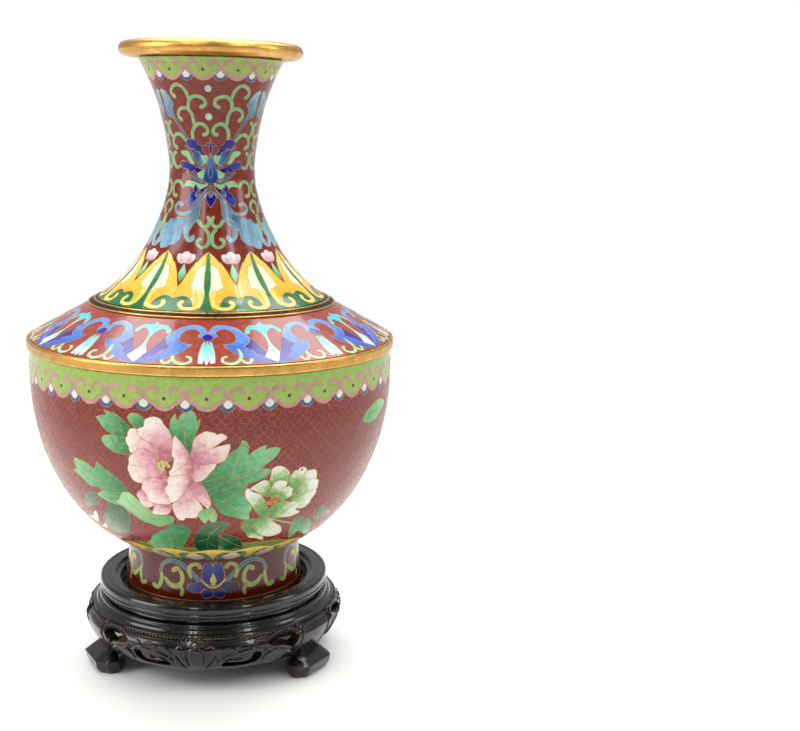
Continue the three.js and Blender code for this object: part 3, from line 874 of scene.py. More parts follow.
    # petals: dark tips over paler bodies, edged with slate
    curls([(-32.9, 206.1), (-26.9, 203.7), (-20.7, 200.4), (-14.5, 197.6), (-8.9, 196.7)],
        [0.7, 1.2, 1.3, 1.2, 1.0], "slate_blue")
    each([(-26.9, 205.3, 1), (-20.5, 204.3), (-14.7, 203.4), (-11.9, 200.7), (-9.1, 197.9), (-14.5, 198.3),
        (-19.1, 200.1), (-24.5, 203.1)], "mid_blue", (-24, 204), (-10, 198))
    each([(-32.7, 207.9, 1), (-26.9, 209.1), (-18.3, 208.7), (-16.4, 206.9, 1), (-11.1, 206.2),
        (-10.2, 204.1, 1), (-4.9, 202.3, 1), (-11.3, 202.3), (-14.5, 203.7, 1), (-18.5, 203.9),
        (-21, 205.2, 1), (-26.9, 205.1)], "lotus_blue", (-6, 203), (-44, 210))
    each([(-32.9, 196.5, 1), (-26.1, 195.1), (-17.9, 192.9), (-9.9, 191.7), (-13.9, 190.7), (-24.5, 192.9),
        (-31.9, 195.1)], "mid_blue", (-32, 196), (-12, 191))
    curls([(-33.5, 194.9), (-24.5, 192.5), (-15, 190.5), (-7.9, 190.1)], [0.6, 1.0, 1.1, 0.8], "slate_blue")
    each([(-44.1, 198.1, 1), (-41.4, 199.6), (-38.3, 199.5, 1), (-32.6, 199.4), (-27.5, 198.5, 1),
        (-22.5, 197.9, 1), (-17.7, 196.9), (-9.7, 196.1, 1), (-15.5, 194.9), (-19.1, 194.5, 1),
        (-22.6, 195.6), (-26.5, 194.5, 1), (-33.1, 196.1), (-40.7, 196.5)], "lotus_blue", (-10, 196),
        (-56, 199))
    each([(-18.9, 189.9, 1), (-22.3, 188.3), (-22.3, 186.5, 1), (-26.7, 185.7), (-27.7, 184.7, 1),
        (-30.5, 183.5), (-30.3, 181.3), (-26.9, 180, 1), (-24.7, 181), (-19.6, 182.2), (-15.5, 184.4),
        (-9.9, 186.1), (-4.5, 189.2, 1), (-11.3, 187.9), (-15.7, 187.3)], "lotus_blue", (-6, 189),
        (-36, 179))
    each([(-15.2, 187.2), (-13.2, 185.9), (-18, 184.4), (-19.6, 185.6)], "mid_blue", (-14, 187), (-19, 185))
    tear = [(0, 204.2, 1), (-2.6, 201.2), (-5.2, 198.2), (-7.9, 195.4), (-9.6, 193), (-7.5, 191), (0, 189.9)]
    band.area(turned(both_sides(tear), middle), "mid_blue", band.fade((middle, 188), (middle, 206)))
    band.area(turned(both_sides([(0, 198.2), (-2.1, 196.4), (-2.3, 193.6), (0, 192.4)]), middle),
        "mid_blue", 0.3)
    curls([(0, 188.9), (-3.4, 187.4), (-7.4, 186)], [1.2, 1.2, 0.9], "slate_blue")
    band.area(turned(both_sides([(0, 186.9), (-3.4, 185.8), (-6.6, 184.1), (-4.3, 181.9), (0, 179.7, 1)]),
        middle), "lotus_blue", band.fade((middle, 187), (middle, 176)))
    band.area(turned(both_sides([(0, 186.9), (-2.6, 185.9), (-1.9, 184.7), (0, 184.1)]), middle),
        "mid_blue", 0.8)
    for flip in (1, -1):
        scroll(band, turned([(-0.4, 206.3), (-3.4, 207.1), (-6.8, 206.4)], middle, flip), "lotus_blue",
               [1.2, 1.0, 0.5], 0.3)
    band.area(turned(both_sides([(0, 210, 1), (-0.8, 207.6), (-1.6, 206.2), (-1.9, 203.8), (0, 202.6, 1)]),
        middle), "lotus_blue", 0.2)


def draw_neck(band):
    """Three lotuses, the lappets over their roots, and the collar under the mouth."""
    for k in range(3):
        neck_lotus(band, 120 * k - 120)
    lappets(band)
    ruyi_collar(band, 12, 238.3, first=-5.5, size=0.92)


# ---- Shoulder, foot and the leaf band at the foot of the bowl -------------------------------

def draw_shoulder(band):
    """Nine lobed cobalt brackets with a tulip in each and a turquoise lily between them."""
    def warp(angle):
        return angle + 2.9 * math.sin(math.radians(angle))

    def put(points, middle, flip=1):
        return turned(points, middle, flip, warp)

    bracket = [(0.2, 131.2), (0.7, 132.4), (2, 133.4), (4.8, 133.9), (8.2, 133.5), (10.8, 132.6),
        (12.6, 131.1), (14.3, 129.6), (16.8, 126.5), (19.2, 122.9), (20.6, 121.2, 1), (18.6, 121.4),
        (14, 122.3), (10.6, 123.8), (7.8, 125.1), (5.9, 126.7), (4.9, 127.7, 1), (7.8, 128), (9.3, 129.1),
        (9.3, 130.7), (8, 132), (6.2, 132.5), (4.2, 132.4), (2.9, 131.8), (2.7, 131.1), (3.3, 130.5),
        (2.6, 129.9), (1.2, 130.1)]
    wing = [(14.3, 129.7, 1), (16.8, 126.5), (19.4, 122.8, 1), (17.2, 122.8), (15.8, 123.7, 1),
        (14.4, 124.5), (13.9, 125.7, 1), (12.3, 126.3), (11.2, 127.1, 1), (12.5, 127.5), (13.6, 128.5)]
    lily = both_sides([(0, 134.6, 1), (1.4, 133.7), (4.4, 133.5), (6, 132.7), (6.9, 131.9), (6.6, 130.9),
        (5.3, 131.1), (4.7, 132.1), (3.1, 132.3), (1.3, 131.2), (0.5, 129.7), (0.5, 127.7), (1.3, 125.9),
        (3.4, 123.6, 1), (0, 121.2, 1)])
    heart = both_sides([(0, 124.6, 1), (1.2, 125.6, 1), (2.3, 123.1, 1), (0, 121.4, 1)])
    petal = [(-0.7, 128.3), (-0.85, 124), (-1.1, 121.9), (-2.4, 122.0, 1), (-2.3, 125), (-1.5, 128)]
    spike = both_sides([(0, 128.9, 1), (0.75, 126.4), (0.9, 123.4), (0, 121.3, 1)])
    curl_big = [(-9.4, 126.2), (-9.9, 124.4), (-8.9, 122.5), (-6.6, 121.7), (-4.5, 122.4), (-4.6, 123.6),
        (-5.6, 123.9)]
    curl_small = [(-9.4, 123.4), (-10.6, 122), (-11.9, 121.9), (-12.6, 122.9)]
    for k in range(9):
        middle = 40 * k - 160
        for flip in (1, -1):
            band.area(put(bracket, middle, flip), "cobalt", band.fade((middle, 121), (middle, 134)))
            band.area(put(wing, middle, flip), "violet", band.fade((middle, 129), (middle, 122)))
            scroll(band, put(curl_big, middle, flip), "scroll_green", [0.8, 1.5, 1.6, 1.5, 1.3, 1.2])
            scroll(band, put(curl_small, middle, flip), "scroll_green", [0.8, 1.2, 1.1, 1.3])
        band.area(put(lily, middle + 20), "turquoise", band.fade((middle, 134.5), (middle, 122)))
        band.area(put(heart, middle + 20), "turquoise", 1.0)
        for flip in (1, -1):
            band.area(put(petal, middle, flip), "turquoise", band.fade((middle, 130), (middle, 122.5)))
        band.area(put(spike, middle), "turquoise", band.fade((middle, 130), (middle, 122)))
        dot(band, warp(middle), 129.9, 2.35, "deep_violet")


def foot_lotus(band, middle):
    """A small blue lotus on the foot, with tendrils that meet the next one's."""
    def each(points, paint, shade=0.5):
        for flip in (1, -1):
            band.area(turned(points, middle, flip), paint, shade)

    def curls(points, widths, paint):
        for flip in (1, -1):
            scroll(band, turned(points, middle, flip), paint, widths)

    curls([(-6.4, 14.2), (-10.4, 16.4), (-13.7, 18.6), (-20.7, 22.4), (-28, 23.4), (-33.8, 21.6),
        (-36, 18.2), (-34.8, 16.2)], [1.2, 1.8, 2.0, 2.0, 1.8, 1.6, 1.5, 1.3], "tendril")
    curls([(-14.4, 16.8), (-15.6, 19.6), (-14.4, 22), (-10.6, 22.8), (-8.6, 21.6)], [1.3, 1.7, 1.6, 1.5, 2.0],
          "foot_green")
    curls([(-26.2, 19.4), (-23.2, 20.2), (-20.4, 17.8), (-20.2, 14.4), (-23.2, 12.2), (-28, 12.4),
        (-32.4, 15)], [2.2, 1.7, 1.8, 2.0, 2.2, 2.0, 1.4], "foot_green")
    curls([(-21.8, 12.6), (-19.8, 10.6), (-20.2, 8.6)], [1.4, 1.6, 1.7], "foot_green")
    curls([(-35, 16.6), (-35.6, 12.6), (-38, 10.2), (-41.2, 10.9)], [1.5, 1.9, 1.8, 2.0], "foot_green")
    each([(0, 15.2, 1), (0, 22, 1), (-1.6, 24, 1), (-3.2, 22.8, 1), (-5.2, 23.4), (-6.6, 20.8, 1),
        (-7.4, 18.2), (-6.6, 15.2), (-4.2, 13.6), (-1.4, 13.6)], "foot_blue", band.fade((middle, 13),
        (middle, 22)))
    each([(-17, 11.6, 1), (-16, 13.4), (-12.2, 13.9, 1), (-9.4, 14.9), (-6.1, 14.3), (0, 12.4, 1),
        (-5, 10.8), (-8.6, 9.8, 1), (-13, 9.6, 1)], "foot_blue", band.fade((middle, 12), (middle - 15, 12)))
    each([(0, 11.6, 1), (-4.9, 11.6), (-7.6, 10.2, 1), (-6.8, 7.9), (-4.6, 7.2, 1), (-2, 7.6), (0, 8.8, 1)],
        "foot_blue", band.fade((middle, 12), (middle, 7)))
    band.vein([(middle, 20), (middle, 23.6)], 0.3)
    for flip in (1, -1):
        scroll(band, turned([(0, 12.1), (-3.4, 12.9), (-7.8, 15.9)], middle, flip), "line_yellow",
            [0.5, 0.7, 0.5])
    band.area(turned(both_sides([(0, 18.8, 1), (1.9, 15.4), (0, 12.1, 1)]), middle), "foot_yellow",
              band.fade((middle, 12), (middle, 19)))


def draw_foot(band):
    """Four lotuses, and the plain strip that the stand's lip hides."""
    for k in range(4):
        foot_lotus(band, 90 * k - 179)
    band.area([(-180, -10, 1), (180, -10, 1), (180, 6.2, 1), (-180, 6.2, 1)], "foot_plain", 0.3)


def leaf_band(band):
    """Eighteen pink buds in green under scalloped yellow arms, round the root of the bowl."""
    arms = both_sides([(0, 34.6), (3.2, 34.3), (7, 33.5), (10, 32.7, 1), (9.7, 31.7, 1), (6.6, 32.3),
        (3.8, 31.9), (2.4, 30.6), (1.4, 28.4), (0.7, 26.4), (0, 24, 1)])
    field = both_sides([(0, 32.4), (5, 33.4), (9, 34.1), (10.4, 34.2, 1), (10.4, 24, 1)])
    leaflet = [(4.6, 30.9), (6.6, 31.3), (8.2, 29.8), (8.4, 27.6), (7.2, 26), (5.4, 26.4), (4.6, 28.4)]
    bud = both_sides([(0, 32, 1), (2.4, 31), (4.6, 29.2), (4.9, 27.4), (3, 26), (0, 25.7)])
    for k in range(18):
        middle = 20 * k - 169
        band.area(turned(field, middle), "base_green", band.fade((middle, 25), (middle, 34)))
        for flip in (1, -1):
            band.area(turned(leaflet, middle, flip), "base_green", 0.95)
        band.area(turned(bud, middle), "base_bud", band.fade((middle, 26), (middle, 31)))
        for flip in (1, -1):
            band.vein(turned([(0.4, 31.4), (1.6, 29), (1.5, 26)], middle, flip), 0.25)
    for k in range(18):
        middle = 20 * k - 179
        band.area(turned(arms, middle), "base_yellow", band.fade((middle, 27), (middle, 34)))


# ---- The peony picture on the front of the bowl ---------------------------------------------

def hill(band, top):
    """Ground rising from the foot of the bowl, its upper edge through angles and heights."""
    first, last = top[0], top[-1]
    ring = [(first[0], first[1], 1), *top[1:-1], (last[0], last[1], 1), (last[0], 24, 1), (first[0], 24, 1)]
    middle = (first[0] + last[0]) / 2
    band.area(ring, "hill", band.fade((middle, 28), (middle, 40)))


def peony_leaves(band):
    """Leaves behind the two flowers, from the far ones to the near ones."""
    hill(band, [(-72, 27.4), (-60, 31.5), (-50, 33), (-40, 35.2), (-30, 37), (-5, 36), (10, 38), (15, 38.2),
        (20, 38), (30, 37.3), (40, 35), (50, 32.5), (60, 31), (74, 27.4)])
    leaf(band, [(44, 49.4), (45.4, 52.2), (46.9, 52.5), (49.4, 50.5), (52.8, 48.4), (58, 46, 1), (52, 44),
        (46, 46.5)], "leaf_grey", [[(44.6, 49), (50, 47.8), (56, 46.2)]], ((44, 49), (58, 46)))
    leaf(band, [(-53.6, 52.8, 1), (-50.2, 57.5), (-46.3, 60.2), (-41.4, 61.3), (-40, 59.3), (-42.4, 56.9),
        (-45.8, 54.5), (-50.2, 51.9)], "leaf_grey", [[(-52, 53.4), (-46, 57), (-41, 60)]], ((-41, 60),
        (-54, 52)))
    leaf(band, [(-30.1, 56), (-33.6, 57.5), (-38, 57.2), (-41.4, 52.2), (-45.3, 48.4), (-47.8, 44.8),
        (-48.4, 41.6, 1), (-45.8, 39.4), (-41.4, 40.2), (-37, 41.6), (-35, 42.8), (-32.6, 46.8),
        (-30.4, 49.9)], "leaf_grey", [[(-47, 42.4), (-40, 48.4), (-32, 54.6)], [(-38, 42.6), (-36.4, 50)],
        [(-44, 46), (-38.4, 46.6)]], ((-31, 56), (-46, 40)))
    leaf(band, [(-41.6, 60.5), (-38.9, 62.7), (-35.5, 63.8), (-29, 63.8), (-28.2, 60), (-32.6, 57.6),
        (-36.5, 57.9), (-38.9, 58.7)], "leaf_teal", [[(-40.4, 60.4), (-29.4, 62.4)]], ((-29, 61),
        (-41, 60)))
    leaf(band, [(-50.5, 69.9, 1), (-48.2, 71.5), (-48.4, 74.7), (-47.4, 76.7, 1), (-45.3, 76.1),
        (-41.9, 75.4), (-39.2, 73.5, 1), (-38.1, 74.7), (-37.3, 77.2, 1), (-36, 76), (-32.6, 73.2),
        (-29.6, 70.3), (-27.9, 67.3), (-27, 63.9), (-30.1, 63.6), (-33.6, 63), (-38.5, 63.3), (-39.9, 64.5),
        (-43.3, 64.3), (-45.8, 66.3), (-48.2, 68.5)], "leaf_teal", [[(-47, 75), (-42, 71), (-37, 67),
        (-31, 64.5)], [(-36.5, 75), (-33.5, 71.5), (-32, 66)], [(-47.6, 69.6), (-42, 69.4), (-36, 66.4)]],
        ((-29, 64), (-48, 74)))
    leaf(band, [(-33.8, 59.1), (-32.4, 59.8), (-29.6, 64.2), (-26.7, 64.4), (-24.5, 62), (-23.3, 59.9),
        (-21.1, 57.8), (-19.4, 55.2), (-18.2, 54.4), (-12.6, 54.4), (-12.9, 51), (-15.9, 49.4),
        (-18.9, 48.3), (-22.3, 49.4), (-25.7, 51), (-28.7, 54), (-31.1, 56.6)], "leaf_light", [[(-32, 58),
        (-26, 55), (-20, 51.6), (-14, 50.4)], [(-29, 62), (-26.4, 55.6)], [(-22.6, 57.6), (-20.6, 52.4)]],
        ((-14, 50), (-31, 62)))
    leaf(band, [(-13.8, 50.2), (-15.2, 48.9), (-16.9, 46.8), (-19.8, 45.3), (-23.8, 42.3), (-26.2, 39.4),
        (-30, 36.3, 1), (-27.9, 36.5), (-28.7, 34), (-27.9, 31.3, 1), (-23.8, 32.6), (-19.4, 34.2),
        (-16.9, 35.8), (-15.7, 37.3, 1), (-15.7, 36.5), (-14.6, 33.9, 1), (-12.7, 35.2), (-10.5, 39),
        (-8.1, 43.3), (-6.9, 46.8), (-8.1, 49.4), (-11, 50.4)], "leaf_teal", [[(-29, 35.6), (-22, 39.4),
        (-16.6, 43.8), (-12.4, 49)], [(-27.6, 32.6), (-21.6, 36), (-16.6, 41)], [(-14.4, 35.2), (-13, 41),
        (-11, 47)], [(-15.6, 37.2), (-14.6, 41.4), (-13, 45)]], ((-11, 50), (-26, 33)))
    leaf(band, [(-2.5, 49), (-0.6, 50.5), (2.3, 51.5), (4.8, 52.1), (7, 51.5), (8.2, 49.9), (6.8, 48.4),
        (5.3, 46.3), (3.8, 44.3), (4.3, 41), (4, 37.5), (3.6, 34.5), (2.3, 32.2), (-0.2, 30.7, 1),
        (-1.8, 31.8), (-4.8, 33.5), (-6.2, 36), (-6.6, 39), (-6.4, 41.5), (-5.2, 44.2), (-3.9, 46.7)],
        "leaf_dark", [[(-0.2, 31.6), (-0.8, 38), (0.6, 44.6), (5.6, 50.4)], [(-4.6, 40), (-0.6, 42)],
        [(3, 37), (-0.6, 39.6)]], ((4, 51), (-1, 33)))
    leaf(band, [(4.3, 37.3, 1), (5.5, 36), (6.8, 34.8), (8.2, 34.2), (10.4, 34.2), (12.6, 35.2),
        (14.6, 34.4), (16, 35, 1), (14.3, 37.9), (13.1, 40.5), (10.7, 42.5), (8.2, 44), (5.3, 44.5),
        (4, 42.2)], "leaf_dark", [[(4.8, 43), (9.4, 39), (14.8, 35.6)]], ((5, 43), (15, 35)))
    for lobe in ([(-3.4, 57.6), (-3.2, 54.5), (-2, 52), (-0.8, 51.2), (0.2, 54), (0.2, 58.4)], [(0.2, 60),
            (2, 58.7), (3.1, 55.7), (3.1, 52.8), (2, 51.4), (0.5, 52.5), (0, 55.5)]):
        leaf(band, lobe, "leaf_light", [], ((0, 60), (0, 51)))
    leaf(band, [(-0.6, 64.6, 1), (-2.8, 71.6), (-0.1, 73.5), (2.3, 77.4), (4.8, 80.8), (7.2, 84.5),
        (9.7, 86.8), (10.6, 89.9, 1), (11.9, 89.3), (12.7, 86.8), (12.5, 82.9, 1), (14.6, 85.1), (17, 86.8),
        (18.4, 87.2, 1), (17.8, 85.1, 1), (20.5, 85.8), (22.9, 85.2, 1), (21.9, 82.2), (19.5, 79.3),
        (16.8, 76.9, 1), (19, 76.4), (20.6, 75.8, 1), (19.5, 73.5), (16.5, 71.3), (13.1, 70.3), (7.2, 68.5),
        (1, 65.3)], "leaf_teal", [[(7.5, 73), (8.5, 78), (10.6, 87)], [(0, 67.6), (8, 73), (14, 77),
        (21, 84)], [(8.4, 72.6), (15, 74.5), (20, 75.5)], [(0, 72), (4, 73.5), (7, 72.5)]], ((1, 67),
        (18, 85)))
    leaf(band, [(1, 65.3), (7.2, 68.5), (13.1, 70.3), (12.1, 67.3), (12.6, 63.6), (14.6, 60.5),
        (15.3, 57.5), (14.6, 55.7), (14.8, 52.2), (12.1, 52.5), (9.2, 54), (6.3, 55.1), (4.3, 56.9),
        (2.8, 59.9), (1.4, 63.2)], "leaf_teal", [[(2, 63.6), (7, 60.5), (12, 56), (14.2, 53)], [(5, 62),
        (11.6, 66)], [(8, 59.6), (13.6, 60)]], ((2, 64), (15, 54)))
    leaf(band, [(34.7, 48.9), (35.6, 49.6), (38.1, 49.3), (39.9, 47.3), (41.5, 44.3), (41.4, 40.3),
        (40.5, 37.7), (39.8, 35.8, 1), (37.1, 38.5), (35.2, 42.3), (34.4, 45.8)], "leaf_teal",
        [[(36.4, 48.6), (38.4, 43), (39.6, 37)]], ((36, 49), (40, 36)))
    leaf(band, [(39.6, 47.3), (43, 46.3), (45.9, 44.3), (47.9, 42.3), (49.4, 40.3), (51.3, 37.3),
        (53.8, 35, 1), (48.9, 36), (45, 38.5), (41.3, 41)], "leaf_teal", [[(40.6, 45), (46, 41.4),
        (52.6, 36)]], ((40, 46), (53, 36)))
    leaf(band, [(-31.8, 100.9, 1), (-30.4, 100.4), (-28.2, 99.8), (-26.2, 98.4), (-24.5, 96.4), (-23, 94.4),
        (-23.6, 92.2), (-24.1, 90.6), (-26.2, 89.9), (-28.7, 90.8), (-30.6, 91.6), (-32.6, 93.4),
        (-34, 95.7), (-34.9, 97.2, 1), (-33.3, 98), (-31.1, 98.7)], "leaf_teal", [[(-34, 96.7),
        (-29.9, 95.3), (-26.7, 93.2), (-24.3, 91.3)], [(-30.4, 99.6), (-28, 94.4)], [(-26.6, 97.6),
        (-25.6, 92.6)]], ((-24, 92), (-34, 99)))
    leaf(band, [(-33.6, 87.2, 1), (-33.1, 88.8), (-31.6, 90), (-28.7, 90.3), (-26.2, 90.1), (-24.2, 89.6),
        (-24, 86.5), (-22.9, 83.8), (-23.6, 82.7), (-26.7, 82.5), (-29.6, 83), (-32.1, 84.8)], "leaf_teal",
        [[(-33, 86.9), (-28.7, 87.4), (-24.4, 87)], [(-29.6, 89.6), (-27.6, 87.3)], [(-29.4, 83.6),
        (-27.2, 87.2)]], ((-24, 86), (-33, 87)))
    leaf(band, [(-23.5, 97.7), (-23.3, 99.7), (-21.6, 100.7), (-19.8, 100.2), (-18.4, 98.7), (-18, 97),
        (-18.8, 95.1), (-20.6, 94.2), (-22, 95.1)], "leaf_teal", [[(-22.8, 99.4), (-19.6, 95.6)]],
        ((-19, 95), (-23, 100)))
    leaf(band, [(-10.9, 93.4), (-10.5, 95.7), (-10.4, 98.4), (-9, 101.5, 1), (-8.3, 98.5, 1), (-6.9, 101.3),
        (-5.2, 103.1), (-3.6, 102.4), (-2.9, 100.7), (-2.7, 98.4, 1), (-1.6, 99.4, 1), (-2.0, 96.4),
        (-3.1, 92.8), (-3.7, 89.1), (-4.6, 85), (-8, 90)], "leaf_teal", [[(-6, 88), (-6.3, 94), (-5, 101)],
        [(-6.3, 94), (-9, 100)], [(-5.6, 92), (-2.2, 97.6)]], ((-6, 87), (-6, 102)))
    leaf(band, [(56.5, 90.4), (60, 94.6), (66, 96.9), (72, 95.8), (75, 93, 1), (70, 89.6), (63, 87.6)],
        "leaf_bright", [[(57.4, 90.6), (66, 92.6), (74, 93)], [(63, 92), (67, 96)], [(66, 92.6),
        (69, 89.8)]], ((57, 90), (75, 93)))
    for streak in ([(-60, 44), (-54, 46.4), (-48.6, 50.8), (-49.6, 47.4), (-55, 42.6)], [(-58, 39.4),
            (-52, 41.6), (-48.6, 44), (-50, 40.8)]):
        leaf(band, streak, "cream", [])
    scroll(band, [(22, 52), (26.3, 49.8), (29.3, 48.4), (34.6, 46.3)], "leaf_light", [0.9, 0.8, 0.8, 0.7])


def pink_peony(band):
    """The large blossom, from its far petals to the folded near one and the stamens."""
    def petal(points, base, tip):
        band.area(points, "petal_pink", band.fade(base, tip))

    petal([(-20.8, 92.4), (-20.6, 94.1), (-18.6, 95.4), (-18.4, 97.7), (-16.9, 99.3), (-14.9, 99.8),
        (-13.2, 98.8), (-12.3, 96.7), (-11, 94.5), (-10.3, 92.1), (-9.8, 89.1), (-10, 85.1), (-11, 82.6),
        (-14, 84), (-18, 87)], (-12, 84), (-16, 98))
    petal([(-20.7, 94, 1), (-22.5, 94.2), (-23.8, 92.6), (-24.1, 90.8), (-24.8, 89.5), (-24.7, 87.5),
        (-24, 85.8), (-24, 84.2), (-22.9, 83, 1), (-21.3, 84), (-16, 82), (-13, 80.6), (-10.3, 81.2),
        (-11, 83.2), (-14, 85.9), (-17.4, 88.6), (-20.1, 91), (-20.8, 92.4)], (-12, 82), (-24, 91))
    petal([(-22.7, 83.3), (-24, 82), (-24.6, 80.3), (-24.7, 78.7), (-25.4, 76.1), (-24.9, 72.9),
        (-24.3, 71.3), (-23.2, 70.1), (-20.9, 69.9), (-18, 70), (-14, 71.5), (-12.5, 74), (-13, 78.7),
        (-12.6, 82.1), (-14.9, 83.6), (-17.4, 85.1), (-19.4, 85.9), (-21.3, 85.2)], (-13, 79), (-25, 75))
    band.vein([(-24.5, 77.7), (-21.8, 77.9), (-19, 77.2)])
    petal([(-21.8, 66.9, 1), (-23, 65.9), (-24.1, 63.9), (-23.6, 62), (-23.5, 60.2), (-22.6, 58.7),
        (-20.8, 58.2), (-19.2, 59), (-17.6, 60.6), (-19, 64), (-20, 67)], (-19, 66), (-23, 59))
    petal([(-17.8, 61), (-18.9, 58), (-20, 55.4), (-18.9, 54.8), (-15.9, 54.9), (-13.9, 55.6),
        (-12.9, 57.5), (-12, 59.9), (-13.3, 61.2)], (-15, 61), (-17, 55))
    petal([(-20.7, 71.5, 1), (-21.2, 69.4), (-21.8, 67), (-20.8, 65.7), (-20.3, 63.6), (-19.9, 61.7),
        (-18.5, 60.7), (-15.9, 60.3), (-13.4, 60.4), (-12.1, 61.6), (-11.5, 66), (-11.8, 70), (-12, 73),
        (-14.5, 73.7), (-16.9, 73.1), (-19.4, 72.4)], (-12, 72), (-19, 62))
    petal([(-9.4, 64.4), (-12, 60.5), (-12, 57.5), (-11.4, 54.5), (-10.5, 52.7), (-8.8, 52.6), (-7.8, 53.9),
        (-5.6, 53.7), (-3.8, 54.4), (-3.1, 57), (-1.8, 58.2), (-1.7, 59.6), (-3.4, 63.3, 1), (-2.2, 61.7),
        (-1, 59.9), (0.1, 58.8), (0.8, 59.9), (1.2, 61.8), (0.7, 63.6), (0.1, 66.7), (-1.1, 69.7),
        (-2.6, 72.3), (-5.8, 73)], (-7, 71), (-5, 55))
    petal([(-4.8, 84), (-4.3, 86), (-3.8, 89.8), (-3, 91.8), (-1.7, 93.1), (0, 94.2), (2.3, 93.5),
        (3.3, 92.7), (4.5, 93.2), (6.3, 91.4), (4.5, 89.5), (2.3, 87.4), (0.5, 86, 1), (1.9, 86.9),
        (4.8, 88), (7.1, 88.4), (6.9, 85.8), (6.1, 82.9), (5.3, 81.1), (2.8, 79.9), (-0.1, 79.6),
        (-4.6, 78.8)], (-4, 80), (3, 92))
    petal([(-0.1, 79.8), (3.2, 80.1, 1), (2.4, 78), (1.2, 76.1), (-0.7, 73.2), (-2.6, 71.8), (-4.4, 73),
        (-5, 78.7)], (-4, 79), (1, 74))
    band.area([(-9.2, 92.3, 1), (-7.3, 89.1), (-5.8, 85.8), (-4.8, 82.5), (-4.5, 78.7), (-4.8, 74.8),
        (-5.8, 71), (-7.3, 67.3), (-9, 63.9), (-11.4, 61.7), (-12.5, 61.7), (-12.9, 64.2), (-13.7, 66.5),
        (-13.4, 68.8), (-12.5, 70.3), (-12.6, 72.2), (-11.7, 74.2), (-11.7, 76.1), (-10.7, 77.7),
        (-9.8, 81.9), (-10.4, 83.2), (-10.2, 86.5), (-9.9, 90.5)], "petal_pink", band.fade((-4, 78),
        (-10, 78)))
    band.vein([(-10.9, 75.1), (-9.6, 76.7), (-8.1, 78), (-7.1, 79.6), (-4.7, 79.9)])
    band.vein([(-12.4, 73.8), (-8.6, 74.7), (-5.6, 75.6)])
    for k in range(7):
        around = math.radians(50 * k)
        radius = 1.75 if k < 6 else 0.0
        dot(band, -13.3 + radius * 0.9 * math.cos(around), 78.6 + radius * math.sin(around), 0.85,
            "stamen_green", 0.6)


